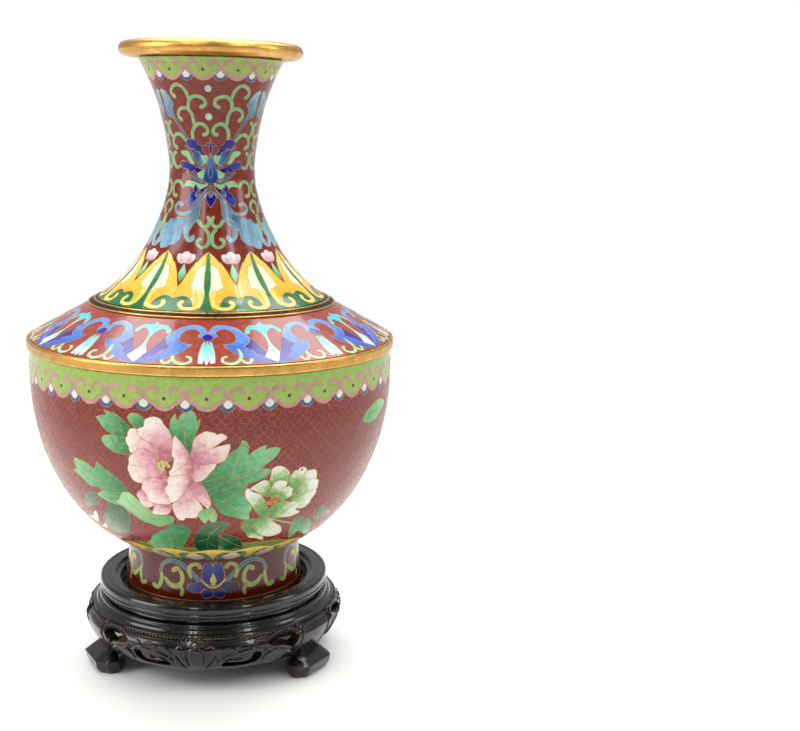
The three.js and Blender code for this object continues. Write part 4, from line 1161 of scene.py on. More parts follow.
def green_peony(band):
    """The smaller green and white blossom, from its far petals to its near ones."""
    def petal(points, base, tip):
        band.area(points, "petal_green", band.fade(base, tip))

    petal([(20.3, 66.5), (19.9, 69.7), (20.5, 72.2), (20.5, 74.8), (21, 76.4), (22.7, 77.2), (24.6, 76.5),
        (26.4, 74.5), (27.3, 72.2), (27, 69), (24, 67)], (23, 69), (22, 77))
    petal([(14, 67.6), (16.1, 69.8), (18, 71.1), (19.6, 70.7), (20.5, 68.5), (21.2, 66), (20.6, 63),
        (19, 63.6), (17.3, 65), (15.6, 66.5)], (20, 64), (16, 70))
    petal([(12.4, 65.4), (12.6, 67.3), (13.4, 68), (14.8, 66.2), (16.7, 65.1), (18.4, 63.6), (20, 60.5),
        (21, 58.1), (22.4, 55.1), (22.6, 52.8), (21.4, 51.9), (19.5, 52.6), (18, 54.3), (16.1, 57.3),
        (14.6, 60.3), (13.1, 62.7)], (21, 58), (13, 66))
    petal([(20.7, 64), (21, 66), (21.7, 68.6), (22.4, 69.8), (23.9, 70.3), (26.3, 69.5), (26.8, 68.5),
        (26.4, 66.7), (25, 64), (22.4, 62)], (23, 63), (25, 70))
    petal([(24, 60.4), (24.2, 62.6), (24.8, 64.7), (26.5, 66.4), (27.8, 66.8), (29.1, 65.8), (29.9, 63.6),
        (29.4, 61.8), (26.8, 60.1)], (25, 61), (29, 66))
    petal([(27.3, 69.7), (27.8, 72.2), (28.8, 74), (30, 74), (30.5, 74.9), (31.7, 75.2), (33, 74.3),
        (33.5, 72.9), (32.4, 71), (30.5, 67.9), (29.3, 65.6), (27.6, 67.1)], (29, 67), (31, 75))
    petal([(33.3, 72.7), (34.7, 73), (36.6, 73), (37.7, 71.6), (38.2, 69.7), (38, 67.7), (35.6, 68),
        (34, 66.5), (32.9, 64.5), (31.7, 62.5), (30, 61.2), (29.4, 64), (30.3, 68.5), (32.2, 71)], (31, 64),
        (37, 72))
    petal([(38, 67.9), (39.4, 67.4), (39.9, 64.8), (39.9, 62.8), (37.6, 62.3), (35.6, 62), (34.2, 60.6),
        (30, 60.8), (32.7, 66), (33.9, 68), (35.6, 68.6)], (31, 62), (39, 66))
    petal([(39.9, 62.5), (39.9, 59.9), (38.9, 58.1), (38.7, 56.3), (37.1, 54.3), (35.2, 54), (34, 54.4),
        (33.4, 56.3), (31, 58.4), (29.2, 60.2), (31, 62), (34.2, 61.2), (35.6, 62.4), (37.6, 62.7)],
        (30, 60), (38, 57))
    petal([(12.4, 48.6), (13.1, 46.3), (14.6, 44.8), (15.6, 42.8), (17, 41.3), (19.5, 40.8), (21.9, 39.6),
        (24, 38.7, 1), (23.4, 40.5), (21.9, 42.4), (20, 44.6), (17, 47.8), (14.6, 49.2)], (20, 45),
        (20, 40))
    petal([(12.3, 49.4), (12.6, 51.2), (14.6, 52), (17, 52.3), (20.5, 52.3), (22.9, 51.8), (24.6, 49.9),
        (26.8, 47.8), (29.3, 45.8), (30.5, 44), (31.1, 42.2), (29.8, 40.9), (27.3, 40.4), (24.4, 40.9),
        (22.4, 41.7), (20.5, 43.2), (18.5, 45.7), (17, 47.4), (14.6, 48.8)], (18, 51), (27, 42))
    petal([(22.4, 57.5), (23.9, 59.5), (25.4, 59.5), (27.3, 59.8), (28.3, 59.2), (30, 58.6), (31.7, 58.5),
        (33.3, 57.2), (34, 55.1), (33, 54.2), (34.3, 53.2), (35.7, 52.2), (34.2, 51.2), (31.2, 50.7),
        (28.3, 51), (25.4, 51.2), (23, 52.8), (22, 55.1)], (24, 58), (34, 53))
    band.vein([(28.3, 59), (28.4, 57.4), (30, 58.4)])
    dot(band, 31.4, 73.9, 0.6, "stamen_orange")
    for x, y in ((20.9, 59.8), (22.2, 61.4), (23.6, 62.4), (23.4, 60.2), (21.9, 59.3), (24.2, 58.9)):
        dot(band, x, y, 0.85, "stamen_orange", 0.6)


# ---- The magnolia picture on the back of the bowl -------------------------------------------

def magnolia(band):
    """A magnolia branch over a blue rock, drawn about the back of the bowl."""
    def here(points):
        return turned(points, 180)

    def area(points, paint, start, end):
        (a,), (b,) = here([start]), here([end])
        band.area(here(points), paint, band.fade(a, b))

    def vein(*points):
        band.vein(here(points))

    hill(band, here([(-68, 27.4), (-52, 35), (-40, 39), (-30, 42.5), (-16, 44), (0, 45), (14, 47.5),
        (28, 48), (42, 45), (54, 38), (64, 27.4)]))
    branches = [([(-34, 98), (-34.2, 85), (-35, 76.5), (-37.3, 69), (-34.9, 66)], [1.1, 1.5, 1.7, 1.9]),
        ([(-34.6, 72), (-31.6, 74.6), (-29, 77.6)], [1.2, 1.0]),
        ([(9.6, 88.6), (13, 86.8), (18.2, 83), (23.9, 77.6), (30.4, 71.6), (38.6, 69.3)],
        [2.2, 1.7, 1.5, 1.3, 1.1, 0.9]),
        ([(17.4, 84.2), (23.9, 90.7), (29.6, 92.3), (35.4, 91.4)], [1.2, 1.2, 1.1, 0.8]),
        ([(26.8, 91.6), (27.2, 96), (28.4, 102)], [1.0, 0.9, 0.7]),
        ([(27, 74.6), (33, 80), (38, 83.6)], [0.9, 0.9, 0.7])]
    for line, widths in branches:
        scroll(band, here(line), "bark", widths, 0.5)
    area([(-67, 51.9), (-61.8, 59.9), (-56, 62.4), (-54, 68), (-52, 74.3), (-52.8, 77.6), (-48, 79.4),
        (-44.7, 79.1), (-43.4, 75.4), (-38.9, 73.3), (-36.1, 67), (-38.9, 63.4), (-39.8, 59.9),
        (-34.9, 58.9), (-30.4, 53.4), (-33.2, 50), (-32.4, 45.8), (-29.1, 41.6), (-28, 37), (-36, 32),
        (-50, 30.4), (-60, 36), (-66, 44)], "rock", (-40, 36), (-52, 78))
    vein((-50, 76), (-47, 68), (-48, 60), (-42, 52), (-40, 44))
    vein((-60, 57), (-55, 52), (-54, 44), (-48, 38))
    vein((-42, 73), (-42, 66), (-46, 61))
    area([(-35.3, 59), (-33.2, 62.5), (-30, 64.2), (-25.9, 62), (-24, 56.4), (-25.9, 52.5), (-30, 52),
        (-33.2, 55)], "leaf_dark", (-26, 53), (-33, 64))
    vein((-27, 53), (-29.6, 58), (-31.4, 63))
    leaves = [([(-57.3, 100), (-53, 102), (-48, 100.8), (-46.5, 96), (-49, 93.2), (-54, 95)], (-48, 95),
        (-57, 100)),
        ([(-29.1, 97.2), (-25.9, 100.8), (-21, 100.8), (-20, 97.8), (-22.3, 92), (-24.7, 90.3),
        (-27.5, 93)], (-23, 91), (-25, 101)),
        ([(-30.6, 84.6, 1), (-26.7, 89.6), (-22.6, 89.2), (-20.6, 84), (-17.3, 79.5), (-21.8, 78.4),
        (-27.5, 80.8)], (-18, 80), (-30, 85)),
        ([(-29.8, 70), (-30.2, 75.4), (-27.5, 78.8), (-18.3, 78.8), (-20.4, 71), (-25.9, 69.4)], (-19, 78),
        (-30, 70)),
        ([(-17.7, 79.3), (-13.4, 78.8), (-12.6, 73.3), (-13.4, 67), (-17.7, 64.3), (-21.2, 69),
        (-20.8, 74.5)], (-15, 79), (-18, 65)),
        ([(-12.8, 72.4), (-9.4, 71.4), (-5.3, 67), (-3.2, 62), (-3.6, 57.2), (-7.5, 56.2), (-11.4, 59.9),
        (-13.4, 66)], (-11, 72), (-6, 57)),
        ([(2.7, 78.6), (8.4, 84.2), (11.9, 79.7), (13.1, 74.3), (12.3, 71.5), (7.6, 74.1), (3.3, 77.4)],
        (3, 79), (12, 73)),
        ([(23.3, 74), (26.4, 72.9), (30, 69.3), (34.7, 62), (36.8, 57, 1), (35.5, 52.3), (30.4, 51.8),
        (25.4, 54.7), (23.7, 60)], (25, 73), (33, 53)),
        ([(29, 71.2), (38.6, 69.8), (46.8, 67.8), (49.4, 66, 1), (44.3, 63.8), (37, 64.8), (31.1, 67.4)],
        (30, 70), (49, 66)),
        ([(34.7, 98.5), (38.8, 96), (40, 88.2), (36, 88.8), (34.3, 94)], (37, 89), (37, 98)),
        ([(45.4, 95), (48.2, 99.6), (53.3, 102), (58.4, 102), (60, 99.4), (57.4, 94.8), (50.9, 93.2)],
        (46, 95), (59, 101)),
        ([(33.1, 88), (39.4, 88.2), (43.7, 85), (45.3, 78.4, 1), (41.9, 77.8), (36.8, 82)], (34, 88),
        (45, 79)),
        ([(12.4, 101.6), (9, 97.4), (9.6, 91.8), (12.4, 90.2), (13.4, 94)], (12, 91), (10, 100))]
    for points, start, end in leaves:
        area(points, "leaf_spring", start, end)
        across = ((start[0] + end[0]) / 2 + 0.8, (start[1] + end[1]) / 2)
        vein(start, across, end)
    grass = [(-23, 43.6, -22.4, 50), (-21.4, 43.6, -20.6, 51.4), (-19.8, 44, -18.4, 49.6),
        (-9.8, 44.4, -9.4, 50.2), (-8.2, 44.6, -7.4, 51), (-6.8, 44.8, -5.2, 49.6)]
    for x0, y0, x1, y1 in grass:
        scroll(band, here([(x0, y0), ((x0 + x1) / 2 - 0.4, (y0 + y1) / 2), (x1, y1)]), "leaf_spring",
            [1.0, 0.8, 0.3])
    petals = [([(-22.6, 88.5), (-23, 92.9), (-21.2, 96.8), (-18.1, 98.5), (-15.6, 96.8), (-13.6, 92.9),
        (-13.2, 80.2), (-17.7, 80), (-21.1, 84)], (-14, 82), (-20, 97)),
        ([(-14.6, 97.6), (-14.2, 101.4), (-11.4, 103), (-7.9, 102.8), (-5.7, 99.4), (-5.2, 95),
        (-6.2, 90.8), (-9.4, 89), (-11.8, 93)], (-8, 91), (-11, 103)),
        ([(-5.6, 90), (-5.6, 98.3), (-3, 102.2), (0.2, 102.9), (3.2, 99.4), (4, 96.1), (2, 91.6),
        (-1.4, 88.6)], (-4, 89), (0, 103)),
        ([(-4, 86), (3.5, 87.6), (8.4, 89.2), (9, 87.3), (7.7, 82.9), (3.5, 79.8), (-3, 80)], (-4, 84),
        (9, 86)),
        ([(-12.8, 79), (-9.8, 72.2), (-5.5, 68.9), (-0.6, 69.4), (2.9, 72.2), (4.1, 76.5), (2.3, 80.6),
        (-4, 84)], (-5, 83), (-3, 69)),
        ([(-20, 91.8), (-17.7, 94.3), (-14.8, 93.4), (-13.2, 88.5), (-10.4, 83.4), (-13.2, 81),
        (-16.9, 84.4), (-19.5, 88.5)], (-12, 83), (-19, 93))]
    for points, start, end in petals:
        area(points, "petal_white", start, end)
    for k in range(8):
        around = math.radians(51.4 * k)
        radius = 1.8 if k < 7 else 0.0
        dot(band, 173.3 + radius * 0.75 * math.cos(around), 86.6 + radius * math.sin(around), 0.8,
            "stamen_orange", 0.7)
    area([(10.3, 96.7), (11.6, 102), (14.9, 103), (18.2, 101.6), (21.5, 102.5), (24, 99.4), (23.7, 95),
        (20.7, 90.5), (15.8, 88.8), (12.4, 90.6)], "petal_bud", (16, 89), (17, 103))
    vein((18.4, 101.6), (16.4, 96), (16, 90))


def draw_bowl(band):
    """The net first, then the two pictures, and the borders at the root and the top."""
    lattice(band, 25, 114, 44)
    band.wall.narrow = 0.966
    peony_leaves(band)
    pink_peony(band)
    green_peony(band)
    band.wall.narrow = 1.0
    magnolia(band)
    leaf_band(band)
    ruyi_collar(band, 30, 107.5)


# Tints of each enamel, from shade 0 to shade 1.
TINTS = {
    "red": ((92, 22, 12), (120, 40, 28), (146, 62, 46)),
    "red_light": ((126, 40, 28), (146, 56, 42), (164, 82, 64)),
    "foot_red": ((56, 8, 4), (84, 16, 8), (110, 32, 20)),
    "collar": ((128, 158, 62), (150, 178, 84), (172, 194, 106)),
    "scroll_pink": ((160, 112, 118), (184, 140, 144), (204, 170, 170)),
    "moon_blue": ((34, 52, 96), (44, 88, 142), (96, 140, 176)),
    "white_green": ((170, 190, 170), (214, 220, 204), (232, 232, 220)),
    "lappet_green": ((14, 90, 50), (30, 118, 66), (60, 145, 88)),
    "spear_green": ((20, 100, 55), (45, 128, 72), (84, 156, 98)),
    "lappet_yellow": ((240, 176, 40), (246, 200, 72), (250, 222, 120)),
    "cream": ((240, 222, 160), (250, 240, 206), (255, 250, 232)),
    "bud_green": ((84, 180, 132), (130, 210, 165), (176, 230, 196)),
    "bud_white": ((244, 240, 238), (238, 228, 230), (216, 178, 190)),
    "cobalt": ((36, 82, 172), (62, 114, 196), (108, 154, 218)),
    "violet": ((38, 20, 110), (52, 34, 144), (84, 64, 172)),
    "deep_violet": ((22, 8, 120), (34, 16, 150), (70, 56, 170)),
    "turquoise": ((56, 190, 208), (110, 214, 224), (204, 240, 240)),
    "scroll_green": ((118, 204, 144), (150, 222, 168), (186, 234, 194)),
    "neck_green": ((80, 154, 102), (112, 184, 130), (150, 206, 156)),
    "pale_dot": ((130, 180, 170), (160, 204, 194), (190, 222, 214)),
    "filler_green": ((96, 176, 128), (134, 200, 150), (170, 220, 178)),
    "slate_blue": ((44, 72, 96), (64, 98, 118), (96, 130, 144)),
    "lotus_blue": ((10, 10, 96), (16, 30, 140), (40, 86, 190)),
    "mid_blue": ((16, 50, 120), (28, 88, 156), (80, 140, 190)),
    "steel_leaf": ((58, 112, 146), (92, 148, 178), (134, 186, 206)),
    "tendril": ((34, 84, 112), (58, 116, 134), (96, 150, 160)),
    "foot_green": ((104, 140, 62), (140, 170, 86), (172, 194, 112)),
    "foot_blue": ((6, 6, 62), (12, 16, 96), (34, 58, 140)),
    "line_yellow": ((214, 170, 90), (236, 198, 122), (246, 218, 156)),
    "foot_yellow": ((120, 150, 60), (170, 180, 88), (206, 200, 120)),
    "foot_plain": ((60, 30, 20), (84, 44, 28), (110, 70, 46)),
    "base_yellow": ((206, 150, 44), (228, 182, 68), (240, 206, 110)),
    "base_green": ((22, 80, 46), (40, 104, 60), (70, 132, 84)),
    "base_bud": ((176, 130, 138), (206, 176, 178), (226, 212, 208)),
    "hill": ((70, 96, 42), (98, 122, 56), (130, 148, 78)),
    "leaf_teal": ((34, 112, 60), (74, 152, 96), (122, 188, 134)),
    "leaf_grey": ((44, 84, 62), (76, 112, 84), (110, 142, 112)),
    "leaf_light": ((96, 160, 98), (130, 184, 122), (160, 204, 148)),
    "leaf_dark": ((70, 110, 78), (18, 84, 50), (8, 62, 36)),
    "leaf_bright": ((60, 150, 70), (96, 180, 96), (140, 206, 130)),
    "leaf_spring": ((70, 142, 74), (108, 166, 82), (150, 192, 104)),
    "petal_pink": ((176, 96, 112), (208, 146, 154), (228, 192, 188), (236, 222, 212)),
    "petal_green": ((84, 136, 66), (136, 176, 96), (206, 214, 186), (230, 228, 214)),
    "petal_white": ((64, 160, 128), (140, 200, 168), (232, 230, 214), (242, 238, 226)),
    "petal_bud": ((178, 108, 128), (214, 160, 172), (238, 218, 216)),
    "stamen_green": ((120, 150, 60), (180, 190, 100), (216, 210, 140)),
    "stamen_orange": ((150, 74, 34), (190, 108, 56), (216, 150, 90)),
    "bark": ((70, 48, 36), (104, 74, 54), (140, 108, 80)),
    "rock": ((34, 78, 116), (68, 120, 158), (136, 190, 212)),
}
PAINTS = {name: enamel(name, *tints) for name, tints in TINTS.items()}


# ---- The vase -------------------------------------------------------------------------------

GILT = gilt("gilt")
WIRE = gilt("wire_gilt", bright=(206, 156, 88), deep=(120, 80, 42), rough=0.34)
PALE_WIRE = gilt("wire_pale", bright=(190, 124, 104), deep=(128, 72, 56), rough=0.36)
DARK = gilt("dark_channel", bright=(46, 34, 28), deep=(16, 12, 12), rough=0.4)
COPPER = gilt("copper", bright=(196, 120, 82), deep=(120, 66, 40), rough=0.4)
TURQUOISE = enamel("plain_turquoise", (70, 150, 160), (96, 180, 184))

for ring_node, reach in (("foot_ring", 0.5), ("shoulder_ring", 0.6), ("rim_ring", 1.6)):
    show(turned_from(ring_node, ring_node + "_gilt", GILT, reach), "vase", "gilt_metal", ring_node)

# The joint under the neck is a near-black ring between two gilt lines.
(joint_out, joint_low), (joint_in, joint_high) = outer_rings("neck_joint_ring")
show(turned_from("neck_joint_ring", "neck_joint_dark", DARK, 0.3), "vase", "gilt_metal", "neck_joint_ring")
for name, share in (("neck_joint_line_low", 0.1), ("neck_joint_line_high", 0.9)):
    radius = joint_out + (joint_in - joint_out) * share + 0.15
    height = joint_low + (joint_high - joint_low) * share
    show(lathe(name, disc(0.42, 12) + (radius, height), GILT), "vase", "gilt_metal")

LINING = 0.8                    # thickness of the enamel inside
inner = Wall(outer_rings("lining"), 60)
outer_line, outer_normal = inner.section[::-6][::-1], inner.normal[::-6][::-1]
lining_section = np.vstack([outer_line, (outer_line - outer_normal * LINING)[::-1]])
show(lathe("lining_enamel", lining_section, TURQUOISE), "vase", "plain_enamel", "lining")
for node in ("foot_core", "bowl_core", "shoulder_core", "neck_core"):
    paint_node(node, COPPER)
paint_node("base_enamel", TURQUOISE)


# Each skin: the radius that its picture is laid out at, its ground, and what draws it.
SKINS = {"foot": (41.0, "foot_red", draw_foot), "bowl": (81.7, "red", draw_bowl),
         "shoulder": (70.0, "red_light", draw_shoulder), "neck": (32.0, "red", draw_neck)}


def finish_band(band, name):
    """Turns a band's drawing into its enamel pieces and its wires."""
    for piece in enamel_pieces(band, name, GRID_STEP, PAINTS):
        show(piece, "vase", "picture_enamel", name + "_enamel")
    if band.lines:
        show(wire_piece(band, name + "_wires", WIRE), "vase", "gilt_metal")
    if any(item["width"] == LATTICE_WIDTH for item in band.lines):
        show(wire_piece(band, name + "_lattice", PALE_WIRE, True), "vase", "gilt_metal")


def wall_of(node, radius):
    """The wall of a skin's outer face, without the turned-in edge at its top."""
    rings = outer_rings(node)
    while rings[-1][0] < rings[-2][0] and rings[-1][1] - rings[-2][1] < 1:
        rings.pop()
    return Wall(rings, radius)


# Heights past both ends of a wall take in the whole of it.
for name, (radius, ground, draw) in SKINS.items():
    band = Band(wall_of(name + "_enamel", radius), -100, 400, ground)
    draw(band)
    finish_band(band, name)


# ---- The stand ------------------------------------------------------------------------------

# Outer face of the skirt, from its lower edge up, in millimetres above the floor.
SKIRT = [(53.4, 10.3), (55.9, 12.6), (57.9, 16.2), (59.3, 19.5), (59.8, 21.8), (59, 24), (56.8, 26)]
SKIRT_RADIUS = 59               # the skirt is laid out flat at this radius
FIRST_LEG = 60                  # degrees from the front to the first leg
SECTOR = 120                    # degrees from one leg to the next
LEG_SPREAD = 10.9               # degrees a leg takes to each side of its middle
APRON_DEPTH = 4.6               # thickness of the pierced board


def lacquer(name, brown=0.12):
    """Black lacquer over carved hardwood: a clear coat, fine grain, and brown where it has worn."""
    n = Nodes(name)
    grain = n.noise(70, 6, stretch=(1.0, 1.0, 5.0))
    rub = n.noise(130, 6)
    speck = n.noise(900, 3)
    edge = n.add("ShaderNodeNewGeometry").outputs["Pointiness"]
    worn = n.sum("MULTIPLY", n.spread(edge, 0, 1, 0.52, 0.6), n.spread(rub, 0, 1, 0.45, 0.65))
    base = n.ramp(n.spread(grain, 0, 1), [(0.0, colour(4, 3, 3)), (1.0, colour(11, 9, 9))])
    tint = n.mix("MIX", n.spread(rub, 0, brown, 0.5, 0.75), base, colour(58, 28, 22))
    n.feed("Base Color", n.mix("MIX", n.sum("MULTIPLY", worn, 0.6), tint, colour(96, 58, 44)))
    n.feed("Roughness", n.spread(speck, 0.2, 0.3))
    n.feed("Specular IOR Level", 0.3)
    n.feed("Coat Weight", 0.5)
    n.feed("Coat Roughness", 0.08)
    relief = n.sum("ADD", n.sum("MULTIPLY", grain, 0.4), n.sum("MULTIPLY", speck, 0.03))
    n.bump(n.sum("ADD", relief, n.noise(45, 2)), 0.22, 0.0005)
    return n.material


def crisp(piece, angle=38, bevel=0.0):
    """Smooth shading that keeps edges sharper than an angle, with a small worn round on them."""
    piece.data.set_sharp_from_angle(angle=math.radians(angle))
    if bevel:
        rounding = piece.modifiers.new("worn edge", "BEVEL")
        rounding.width = bevel * MM
        rounding.segments = 2
        rounding.limit_method = "ANGLE"
        rounding.angle_limit = math.radians(angle)
        rounding.harden_normals = True
    return piece


def carved(wall, line, widths, rise):
    """Vertices and faces of a rounded ridge along a line on a wall, tapering as its widths say."""
    line = even(catmull(line, per=8), False, 0.55)
    point, normal = wall.lift(line)
    tangent = np.gradient(point, axis=0)
    tangent /= np.linalg.norm(tangent, axis=1)[:, None]
    side = np.cross(tangent, normal)
    half = np.interp(np.linspace(0, 1, len(line)), np.linspace(0, 1, len(widths)), widths)[:, None] / 2
    ends = np.sqrt(np.clip(1 - np.abs(np.linspace(-1, 1, len(line))) ** 8, 0.02, 1))[:, None]
    verts = []
    for turn in range(-10, 191, 25):
        t = math.radians(turn)
        verts.append(point + side * half * ends * math.cos(t) + normal * (rise * ends * math.sin(t)))
    n, rows = len(line), len(verts)
    faces = []
    for k in range(rows):
        a, b = k * n, (k + 1) % rows * n
        faces += [(a + i, a + i + 1, b + i + 1, b + i) for i in range(n - 1)]
    faces.append([k * n for k in range(rows)])
    faces.append([k * n + n - 1 for k in reversed(range(rows))])
    return np.vstack(verts), faces


def boss(wall, ring, rise):
    """Vertices and faces of a low domed petal over an outline on a wall."""
    root = -0.6                 # it starts this far inside the wood
    middle = ring.mean(0)
    if np.sum(ring[:, 0] * np.roll(ring[:, 1], -1) - np.roll(ring[:, 0], -1) * ring[:, 1]) < 0:
        ring = ring[::-1]
    rows = [(1.0, root), (1.0, rise * 0.25), (0.93, rise * 0.62), (0.8, rise * 0.88), (0.55, rise), (0.25,
        rise)]
    verts, n = [], len(ring)
    for scale, height in rows:
        verts.append(wall.lift(middle + (ring - middle) * scale, height)[0])
    faces = tube_faces(len(rows), n)
    faces.append(list(range((len(rows) - 1) * n, len(rows) * n)))
    faces.append(list(reversed(range(n))))
    return np.vstack(verts), faces


def joined(name, parts, material):
    """One object of several closed shapes, each given as vertices and faces."""
    verts, faces, count = [], [], 0
    for points, polygons in parts:
        verts.append(points)
        faces += [[i + count for i in polygon] for polygon in polygons]
        count += len(points)
    return mesh_object(name, np.vstack(verts), faces, material)


def slab(band, paint, depth, fill):
    """Vertices and faces of the part of a band that has one paint, as a slab of a given depth."""
    flat, tris, tops = band.triangles(fill)
    mine = np.array([item["paint"] == paint for item in band.cells])[tops]
    used, local = np.unique(tris[mine], return_inverse=True)
    faces, _ = slab_faces(local.reshape(-1, 3), len(used))
    upper, lower = band.wall.lift(flat[used])[0], band.wall.lift(flat[used], -depth)[0]
    return np.vstack([upper, lower]), faces


def apron(name, middle, material):
    """A carved apron between two legs: pierced on each side, with a lotus and scrolls in relief."""
    wall = Wall(SKIRT, SKIRT_RADIUS, turn=middle, base=0)
    edge = FIRST_LEG - LEG_SPREAD - 0.25
    wall.half = math.radians(edge + 1) * wall.radius
    band = Band(wall, 10.3, 26, "air")
    lower = [(edge - 12 * k, 10.35 + 0.9 * math.sin(math.pi * k / 4)) for k in range(1, 4)]
    right = [(edge, 26, 1), (edge, 10.3, 1), *[(a, h) for a, h in lower], (0, 10.35)]
    band.area(both_sides([(0, 26)] + right), "wood")
    eye = [(47.2, 21.2), (45.4, 24.2), (41, 25.0), (35.2, 24.5), (31.2, 22.9), (34, 20.8), (38.4, 20.2),
        (42.2, 18.6), (45.2, 17.3)]
    crescent = [(28.2, 19.2), (28.6, 16.2), (26, 13.8), (20, 12.9), (11.7, 13.2), (12.8, 15.4),
        (18.6, 15.0), (23.6, 15.8), (25.2, 19.2)]
    for flip in (1, -1):
        for hole in (eye, crescent):
            band.area(turned(hole, 0, flip), "air")
    parts = [slab(band, "wood", APRON_DEPTH, 1.3)]
    ridges = [([(9.4, 11.6), (10, 15.4), (14, 18.6), (20, 20.6), (26, 21.4), (30.4, 20.2)],
        [1.0, 1.7, 1.9, 1.6, 1.3, 0.8]),
        ([(11.6, 17.4), (10.6, 20.4), (13.4, 22.6), (16.8, 21.8)], [0.9, 1.3, 1.3, 0.9]),
        ([(17.4, 19.6), (17.8, 22.6), (21, 23.8), (23.8, 22.4)], [0.8, 1.2, 1.2, 0.9]),
        ([(24.2, 21.2), (25.4, 23.4), (28.4, 24.2), (30.8, 23.8)], [0.8, 1.1, 1.0, 0.7]),
        ([(12.2, 16), (15.2, 16.6), (18.6, 16.2), (20.8, 17.6), (19.4, 18.8)], [0.7, 1.0, 1.0, 1.0, 0.8]),
        ([(29.6, 13.4), (31, 16.6), (34.4, 18.4), (39, 17.6), (43, 15.2), (46.2, 12.4)],
        [1.0, 1.6, 1.7, 1.6, 1.4, 1.0]),
        ([(33.6, 18.6), (31.4, 20.4), (29.6, 19.2)], [1.0, 1.1, 0.8]),
        ([(30.6, 24.2), (36, 25.5), (42, 25.8), (46.6, 24.8), (48.2, 21.6)], [0.7, 0.9, 1.0, 1.0, 0.8]),
        ([(6, 24.9), (13, 25.2), (22, 25.2), (29, 25.3)], [0.8, 0.9, 0.9, 0.7])]
    for points, widths in ridges:
        for flip in (1, -1):
            parts.append(carved(wall, wall.chart(turned(points, 0, flip)), widths, 0.75))
    petals = [both_sides([(0, 23.6, 1), (2.4, 22.2), (3.6, 18.6), (2.8, 14.4), (0, 12.4)]), [(3.6, 22.9, 1),
        (6.6, 24.2), (8.4, 22.8, 1), (7.4, 18.6), (5.2, 14.4), (2.8, 12.6), (3.8, 18)], [(8.6, 19.4, 1),
        (9.6, 15.8), (8.6, 12.2), (5.2, 11.4), (3.6, 12.2), (6.2, 15)], both_sides([(0, 25.4), (1.6, 24.9),
        (3.2, 23.6), (1.4, 23.2), (0, 24.1)])]
    for points in petals:
        for flip in (1, -1) if points[0][0] else (1,):
            ring = outline(wall.chart(flat_points(turned(points, 0, flip))), corners_of(points))
            parts.append(boss(wall, ring, 0.8))
    return crisp(joined(name, parts, material), 42)


def bead_row(name, middle, radius, height, size, material):
    """Small carved beads in a row along the top of an apron."""
    parts = []
    span = FIRST_LEG - LEG_SPREAD - 1.5
    count = int(2 * math.radians(span) * radius / (size * 2.3))
    for k in range(count):
        angle = math.radians(middle - span + 2 * span * k / (count - 1))
        at = np.array([radius * math.sin(angle), -radius * math.cos(angle), height])
        verts = [at + (0, 0, size), at - (0, 0, size)]
        faces = []
        for tier in (1, 2, 3):
            polar = math.pi * tier / 4
            for step in range(8):
                turn = 2 * math.pi * step / 8
                verts.append(at + size * np.array([math.sin(polar) * math.cos(turn),
                    math.sin(polar) * math.sin(turn), math.cos(polar)]))
        for step in range(8):
            after = (step + 1) % 8
            faces.append((0, 2 + step, 2 + after))
            faces.append((1, 18 + after, 18 + step))
            for tier in (0, 8):
                faces.append((2 + tier + step, 10 + tier + step, 10 + tier + after, 2 + tier + after))
        parts.append((np.array(verts), faces))
    return joined(name, parts, material)


def leg(name, middle, material):
    """A leg: the skirt's bulge carried down to an ankle and out to a chamfered block foot."""
    # height, inner and outer radius, half width, corner chamfer
    stations = [(0, 48.6, 58.4, 11.2, 3.8), (2.4, 47.3, 60.3, 12.4, 4.2), (6.0, 47.3, 61.1, 12.4, 4.2),
        (8.9, 48.6, 57.2, 9.6, 2.4), (9.9, 49.4, 55.0, 9.0, 1.4), (11.4, 50.2, 55.4, 9.4, 1.0),
        (13.6, 51.2, 56.7, 10.3, 0.7), (16.4, 52.3, 58.1, 10.9, 0.6), (19.5, 52.9, 59.3, 11.05, 0.6),
        (21.8, 52.3, 59.8, 11.05, 0.6), (24, 50.2, 59.0, 11.05, 0.6), (26, 48.0, 56.8, 11.0, 0.6)]
    rows = []
    for height, inner, outer, half, cut in stations:
        bend = min(max((height - 9) / 5, 0), 1)
        ring = []
        for t in np.linspace(-1, 1, 9):
            across = t * (half - cut)
            ring.append((across, outer * (1 - bend) + math.sqrt(outer ** 2 - across ** 2) * bend))
        side = math.sqrt(outer ** 2 - half ** 2) * bend + outer * (1 - bend)
        ring.append((half, side - cut))
        ring.append((half, (side + inner) / 2))
        ring.append((half, inner + cut))
        for t in np.linspace(1, -1, 5):
            ring.append((t * (half - cut), inner))
        ring.append((-half, inner + cut))
        ring.append((-half, (side + inner) / 2))
        ring.append((-half, side - cut))
        rows.append([(across, -radial, height) for across, radial in ring])
    size = len(rows[0])
    faces = [list(reversed(range(size))), [(len(rows) - 1) * size + i for i in range(size)]]
    faces += tube_faces(len(rows), size)
    verts = np.array(rows).reshape(-1, 3)
    turn = math.radians(middle)
    spin = np.array([[math.cos(turn), -math.sin(turn), 0], [math.sin(turn), math.cos(turn), 0], [0, 0, 1]])
    parts = [(verts @ spin.T, faces)]
    wall = Wall(SKIRT, SKIRT_RADIUS, turn=middle, base=0)
    border = [(-9.6, 25.2), (-10, 20), (-9.2, 15), (-6.6, 12.4), (0, 11.6), (6.6, 12.4), (9.2, 15),
        (10, 20), (9.6, 25.2)]
    parts.append(carved(wall, wall.chart(border), [0.7, 0.9, 0.9, 0.7], 0.45))
    parts.append(carved(wall, wall.chart([(-9.4, 24.8), (0, 25.3), (9.4, 24.8)]), [0.7, 0.8, 0.7], 0.4))
    return crisp(joined(name, parts, material), 32, 0.45)


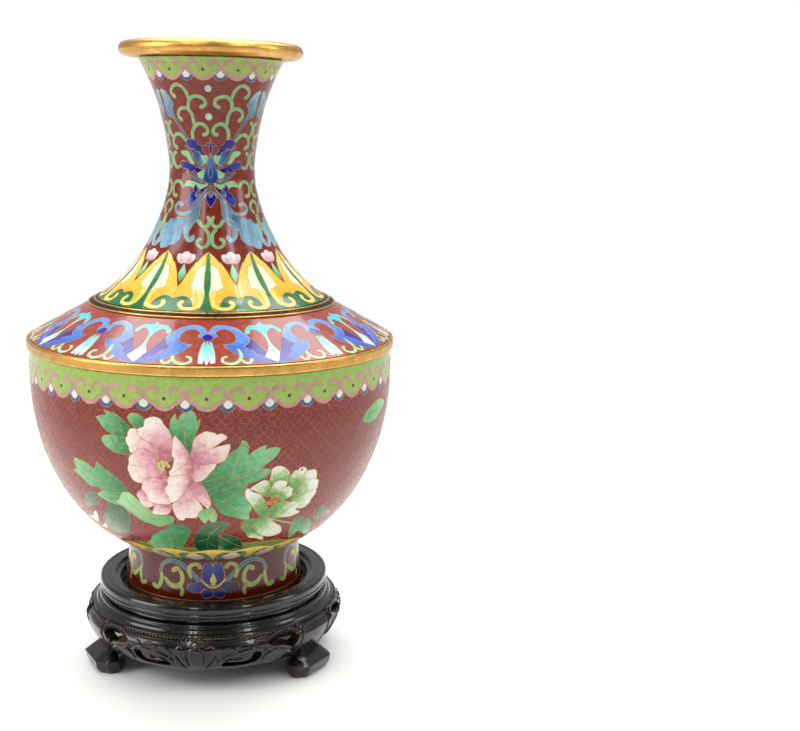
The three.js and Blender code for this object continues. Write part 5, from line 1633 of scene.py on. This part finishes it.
LACQUER = lacquer("lacquer")
WORN_LACQUER = lacquer("lacquer_worn", brown=0.7)

top_section = [(44, 31.5), (47, 31.5), (47, 33.2), (51.9, 33.2), (53.1, 34.0), (53.3, 35.2), (52.8, 35.6),
    (53.3, 36.0), (53.3, 38.0), (52.7, 39.2), (51.2, 39.3), (50.6, 38.9), (50.1, 39.3), (46.7, 39.3),
    (46, 38.9), (46, 37.7), (45.6, 37.3), (44, 37.2)]
show(lathe("stand_rim", softened(top_section, 0.35, 4), LACQUER), "stand", "black_wood", "stand_top_ring")
waist_section = [(47.3, 26.3), (56.6, 26.3), (56.9, 26.9), (56.2, 27.5), (55.2, 27.9), (54.6, 28.9),
    (53.4, 29.7), (53.3, 30.4), (52.6, 31.0), (51.0, 31.3), (50.6, 31.9), (50.8, 32.9), (47.3, 32.9)]
show(lathe("stand_waist", softened(waist_section, 0.3, 4), LACQUER), "stand", "black_wood", "waist_ring")
paint_node("seat_panel", LACQUER)
for k in range(3):
    middle, number = SECTOR * k, k + 1
    show(apron(f"carved_apron_{number}", middle, LACQUER), "stand", "black_wood", f"apron_{number}")
    show(bead_row(f"beads_{number}", middle, 57.2, 26.35, 0.75, LACQUER), "stand", "black_wood")
    show(leg(f"carved_leg_{number}", FIRST_LEG + middle, WORN_LACQUER), "stand", "black_wood",
        f"leg_{number}")


# ---- Room, lights and camera ----------------------------------------------------------------

BACKDROP = 1.0                  # brightness of the plain white behind the object


def floor_paper(name):
    """White paper that takes shadows near the stand and runs out into plain white further off."""
    n = Nodes(name)
    n.feed("Base Color", n.ramp(n.noise(3, 2), [(0, colour(250, 250, 248)), (1, colour(255, 255, 253))]))
    n.feed("Roughness", 0.7)
    glow = n.add("ShaderNodeEmission", Color=(1, 1, 1, 1), Strength=BACKDROP)
    distance = n.add("ShaderNodeVectorMath", {0: n.place})
    distance.operation = "LENGTH"
    far = n.spread(distance.outputs["Value"], 0, 1, 0.16, 0.42)
    blend = n.add("ShaderNodeMixShader", {0: far, 1: n.shader.outputs[0], 2: glow.outputs[0]})
    n.tree.links.new(blend.outputs[0], n.tree.nodes["Material Output"].inputs["Surface"])
    return n.material


sheet = [(-4000, -3000, 0), (4000, -3000, 0), (4000, 6000, 0), (-4000, 6000, 0)]
mesh_object("floor", sheet, [(0, 1, 2, 3)], floor_paper("floor_paper"))


def area_light(name, at, toward, size, watts):
    """A soft rectangular light."""
    lamp = bpy.data.lights.new(name, "AREA")
    lamp.shape = "RECTANGLE"
    lamp.size, lamp.size_y = size
    lamp.energy = watts
    piece = bpy.data.objects.new(name, lamp)
    piece.location = at
    piece.rotation_euler = (Vector(toward) - Vector(at)).to_track_quat("-Z", "Y").to_euler()
    bpy.context.scene.collection.objects.link(piece)
    return piece


area_light("window_left", (-1.3, -0.6, 0.75), (0, 0, 0.14), (0.8, 1.1), 15)
area_light("window_right", (1.4, -0.1, 0.8), (0, 0, 0.14), (0.35, 0.9), 4.5)
area_light("overhead", (0, 0.5, 1.4), (0, 0, 0.05), (1.5, 1.1), 24)


def lamp_strip(name, low, high, width, watts):
    """A long narrow light between two points that faces the middle of the vase."""
    low, high = Vector(low), Vector(high)
    middle = (low + high) / 2
    along = (high - low).normalized()
    back = middle - Vector((0, 0, 0.15))
    back = (back - along * back.dot(along)).normalized()
    piece = area_light(name, middle, (0, 0, 0), (width, (high - low).length), watts)
    piece.rotation_euler = Matrix((along.cross(back), along, back)).transposed().to_euler()


STRIP_WIDTH = 0.016
STRIP_WATTS = 1.6
for side, shift in (("a", -0.03), ("b", 0.03)):
    lamp_strip("strip_left_" + side, (-0.20 + shift, -0.95, 0.6), (-0.17 + shift, 0.1, 1.25),
               STRIP_WIDTH, STRIP_WATTS)
    lamp_strip("strip_right_" + side, (0.627 + shift, -0.763, 0.6), (0.207 + shift, 0.2, 1.25),
               STRIP_WIDTH, STRIP_WATTS)

# The room is brighter behind the object than behind the camera, which itself sees plain white.
WHITE = (1, 1, 1, 1)
world = bpy.data.worlds.new("room")
bpy.context.scene.world = world
world.use_nodes = True
nodes, link = world.node_tree.nodes, world.node_tree.links.new
around = nodes["Background"]
around.inputs["Color"].default_value = WHITE
facing = nodes.new("ShaderNodeTexCoord")
split = nodes.new("ShaderNodeSeparateXYZ")
link(facing.outputs["Generated"], split.inputs[0])
depth = nodes.new("ShaderNodeMapRange")
for key, number in (("From Min", -0.9), ("From Max", 0.5), ("To Min", 0.10), ("To Max", 0.5)):
    depth.inputs[key].default_value = number
link(split.outputs["Y"], depth.inputs["Value"])
link(depth.outputs["Result"], around.inputs["Strength"])
seen = nodes.new("ShaderNodeBackground")
seen.inputs["Color"].default_value = WHITE
seen.inputs["Strength"].default_value = BACKDROP
path = nodes.new("ShaderNodeLightPath")
either = nodes.new("ShaderNodeMixShader")
link(path.outputs["Is Camera Ray"], either.inputs["Fac"])
link(around.outputs["Background"], either.inputs[1])
link(seen.outputs["Background"], either.inputs[2])
link(either.outputs["Shader"], nodes["World Output"].inputs["Surface"])

FOCAL_LENGTH = 57.27            # in millimetres, on a 36 mm sensor
CAMERA_AT = (0.086487, -0.579308, 0.250352)
CAMERA_DOWN = 10.886            # degrees it looks down
CAMERA_ROLL = 0.02212           # radians it is rolled about its line of sight
lens = bpy.data.cameras.new("camera")
lens.lens, lens.sensor_width = FOCAL_LENGTH, 36.0
camera = bpy.data.objects.new("camera", lens)
camera.location = CAMERA_AT
tilt = Matrix.Rotation(math.radians(90 - CAMERA_DOWN), 3, "X")
camera.rotation_euler = (tilt @ Matrix.Rotation(CAMERA_ROLL, 3, "Z")).to_euler()
bpy.context.scene.collection.objects.link(camera)
bpy.context.scene.camera = camera
bpy.context.scene.view_settings.view_transform = "Standard"
